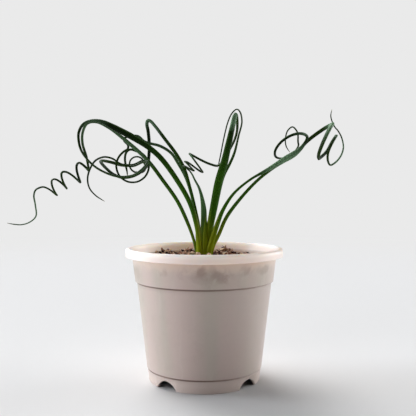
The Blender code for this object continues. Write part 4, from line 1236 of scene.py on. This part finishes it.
def blade_tree():
    """Sweep a crescent section along the midline, closing to a round one where the blade is narrow."""
    tree, keys = new_tree("blade", {
        "Corners": "NodeSocketInt",
        "Edge Sharpness": "NodeSocketFloat",
        "Look": "NodeSocketMaterial",
    })
    graph = Graph(tree)
    given = graph.add("NodeGroupInput").outputs

    def named(label, kind="FLOAT"):
        return graph.out("GeometryNodeInputNamedAttribute", {"Name": label}, data_type=kind)

    def stored(geometry, label, value, kind="FLOAT"):
        inputs = {"Geometry": geometry, "Name": label, "Value": value}
        return graph.out("GeometryNodeStoreNamedAttribute", inputs, data_type=kind, domain="POINT")

    line = graph.out("GeometryNodeMeshToCurve", {"Mesh": given["Geometry"]})
    line = stored(line, "place", graph.out("GeometryNodeInputPosition"), "FLOAT_VECTOR")
    ring = graph.out("GeometryNodeCurvePrimitiveCircle", {"Resolution": given["Corners"], "Radius": MM})
    corner = graph.math("ADD", graph.out("GeometryNodeInputIndex"), 0.5)
    turn = graph.times(graph.math("DIVIDE", corner, given["Corners"]), 2 * pi)
    ring = stored(ring, "side", graph.math("COSINE", turn))
    ring = stored(ring, "upper", graph.math("SINE", turn))
    tube = graph.out("GeometryNodeCurveToMesh", {"Curve": line, "Profile Curve": ring, "Fill Caps": True})
    side = named("side")
    upper = named("upper")
    facing = named("facing", "FLOAT_VECTOR")
    across = graph.vector("CROSS_PRODUCT", named("way", "FLOAT_VECTOR"), facing)
    bulge = graph.math("POWER", graph.math("ABSOLUTE", upper), given["Edge Sharpness"])
    bulge = graph.times(bulge, graph.times(graph.math("SIGN", upper), 0.5))
    hollow = graph.math("SUBTRACT", graph.times(side, side), 0.5)
    dish = graph.times(named("channel"), hollow)
    lift = graph.math("MULTIPLY_ADD", bulge, named("thick"), dish)
    sideways = graph.times(side, graph.times(named("width"), 0.5))
    outward = graph.vector("ADD", graph.scaled(across, sideways), graph.scaled(facing, lift))
    tube = stored(tube, "skyward", graph.split(graph.vector("NORMALIZE", outward))[2])
    place = graph.vector("ADD", named("place", "FLOAT_VECTOR"), outward)
    blade = graph.out("GeometryNodeSetPosition", {"Geometry": tube, "Position": place})
    end_tree(graph, graph.out("GeometryNodeSetShadeSmooth", {"Geometry": blade}), given["Look"])
    return tree, keys


def grow_blade(name, line, tree, keys, look, *nodes):
    """Grow the blade round its line, as a piece that stands for the nodes."""
    blade = new_piece(name, line)
    values = {"Corners": BLADE_CORNERS, "Edge Sharpness": EDGE_SHARPNESS, "Look": look}
    run_tree(blade, tree, keys, values)
    face_outward(blade.data)
    finish_piece(blade, "leaf_green", *nodes)


def make_leaves():
    look = leaf_green()
    tree, keys = blade_tree()
    for node, route, plumpness, widths in LEAVES:
        name = node.replace("leaf", "blade")
        grow_blade(name, leaf_line(name, route(), plumpness, widths), tree, keys, look, node)
    for number, (bearing, out, top, width) in enumerate(SHEATHS):
        name = f"sheath_{number + 1}"
        widths = ((0.0, 0.8 * width), (0.45, width), (0.8, 0.6 * width), (1.0, 0.9))
        route = sheath_route(bearing, out, top)
        grow_blade(name, leaf_line(name, route, SHEATH_PLUMPNESS, widths), tree, keys, look)


# Stage, light and camera

BACKDROP_TONE = 0.823
FLOOR_TONE = 0.765
FLOOR_REACH = 6.0
FLOOR_FADE = (0.5, 1.6)
BACKDROP_RADIUS = 7.0
SKY_TONE = (1.0, 0.95, 0.91)
SKY_STRENGTH = 0.03
# Wide far lights: bearing as in the part's frame, elevation, angular width, strength and tone
LAMPS = (
    ("back_left_high", 121.0, 41.0, 46.0, 2.65, (0.99, 0.99, 1.0)),
    ("overhead", 110.0, 70.0, 44.0, 0.55, (1.0, 0.99, 0.97)),
    ("left_low", 172.0, 6.0, 36.0, 4.3, (0.89, 0.94, 1.0)),
    ("right_low", 2.0, 5.0, 32.0, 1.6, (1.0, 1.0, 0.98)),
    ("back_right_low", 28.0, 5.0, 32.0, 2.5, (0.93, 0.96, 1.0)),
    ("front_left_low", 230.0, 5.0, 32.0, 0.95, (0.95, 0.95, 1.0)),
)


def glowing(graph):
    """An emission in the backdrop's tone."""
    tone = colour(BACKDROP_TONE, BACKDROP_TONE, BACKDROP_TONE)
    return graph.out("ShaderNodeEmission", {"Color": tone})


def make_floor():
    """A pale floor that turns into the backdrop's tone with distance."""
    edit = bmesh.new()
    bmesh.ops.create_circle(edit, cap_ends=True, segments=64, radius=FLOOR_REACH)
    look, graph, shader = new_look("floor", Roughness=0.9, Specular_IOR_Level=0.1,
                                   Base_Color=colour(FLOOR_TONE, FLOOR_TONE, FLOOR_TONE))
    far = graph.fade(graph.length(graph.place()), *FLOOR_FADE)
    mixed = graph.out("ShaderNodeMixShader", {0: far, 1: shader.outputs[0], 2: glowing(graph)})
    graph.tree.links.new(mixed, graph.tree.nodes["Material Output"].inputs["Surface"])
    new_piece("floor", mesh_of("floor", edit), look)


def make_backdrop():
    """A plain dome that only the camera sees, in the tone that the floor turns into."""
    edit = bmesh.new()
    bmesh.ops.create_icosphere(edit, subdivisions=4, radius=BACKDROP_RADIUS)
    look, graph, _ = new_look("backdrop")
    graph.tree.links.new(glowing(graph), graph.tree.nodes["Material Output"].inputs["Surface"])
    dome = new_piece("backdrop", mesh_of("backdrop", edit), look)
    dome.visible_diffuse = False
    dome.visible_glossy = False
    dome.visible_shadow = False
    dome.visible_transmission = False


def add_lamp(name, bearing, elevation, width, strength, tone):
    """A far light as wide as a softbox looks, so the floor is lit alike everywhere."""
    lamp = bpy.data.lights.new(name, "SUN")
    lamp.angle = radians(width)
    lamp.energy = strength
    lamp.color = tone
    made = bpy.data.objects.new(name, lamp)
    turn, rise = radians(bearing), radians(elevation)
    way = Vector((cos(turn) * cos(rise), sin(turn) * cos(rise), sin(rise)))
    made.location = AXIS + way
    made.rotation_euler = (-way).to_track_quat("-Z", "Y").to_euler()
    bpy.context.scene.collection.objects.link(made)


def make_light():
    world = bpy.data.worlds.new("studio")
    world.use_nodes = True
    sky = world.node_tree.nodes["Background"]
    sky.inputs["Color"].default_value = colour(*SKY_TONE)
    sky.inputs["Strength"].default_value = SKY_STRENGTH
    bpy.context.scene.world = world
    for lamp in LAMPS:
        add_lamp(*lamp)
    bpy.context.scene.view_settings.view_transform = "Standard"


def make_camera():
    lens = bpy.data.cameras.new("camera")
    lens.lens = CAMERA_LENS
    lens.clip_start = 0.01
    camera = bpy.data.objects.new("camera", lens)
    camera.location = CAMERA_PLACE
    camera.rotation_euler = (CAMERA_TILT, 0.0, 0.0)
    bpy.context.scene.collection.objects.link(camera)
    bpy.context.scene.camera = camera


def dress_bulb():
    """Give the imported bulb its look."""
    bulb = frame["nodes"]["bulb"]
    bulb.data.materials.clear()
    bulb.data.materials.append(bulb_look())


def main():
    make_camera()
    make_pot()
    soil = make_soil()
    make_bark(soil)
    make_leaves()
    dress_bulb()
    make_floor()
    make_backdrop()
    make_light()


main()
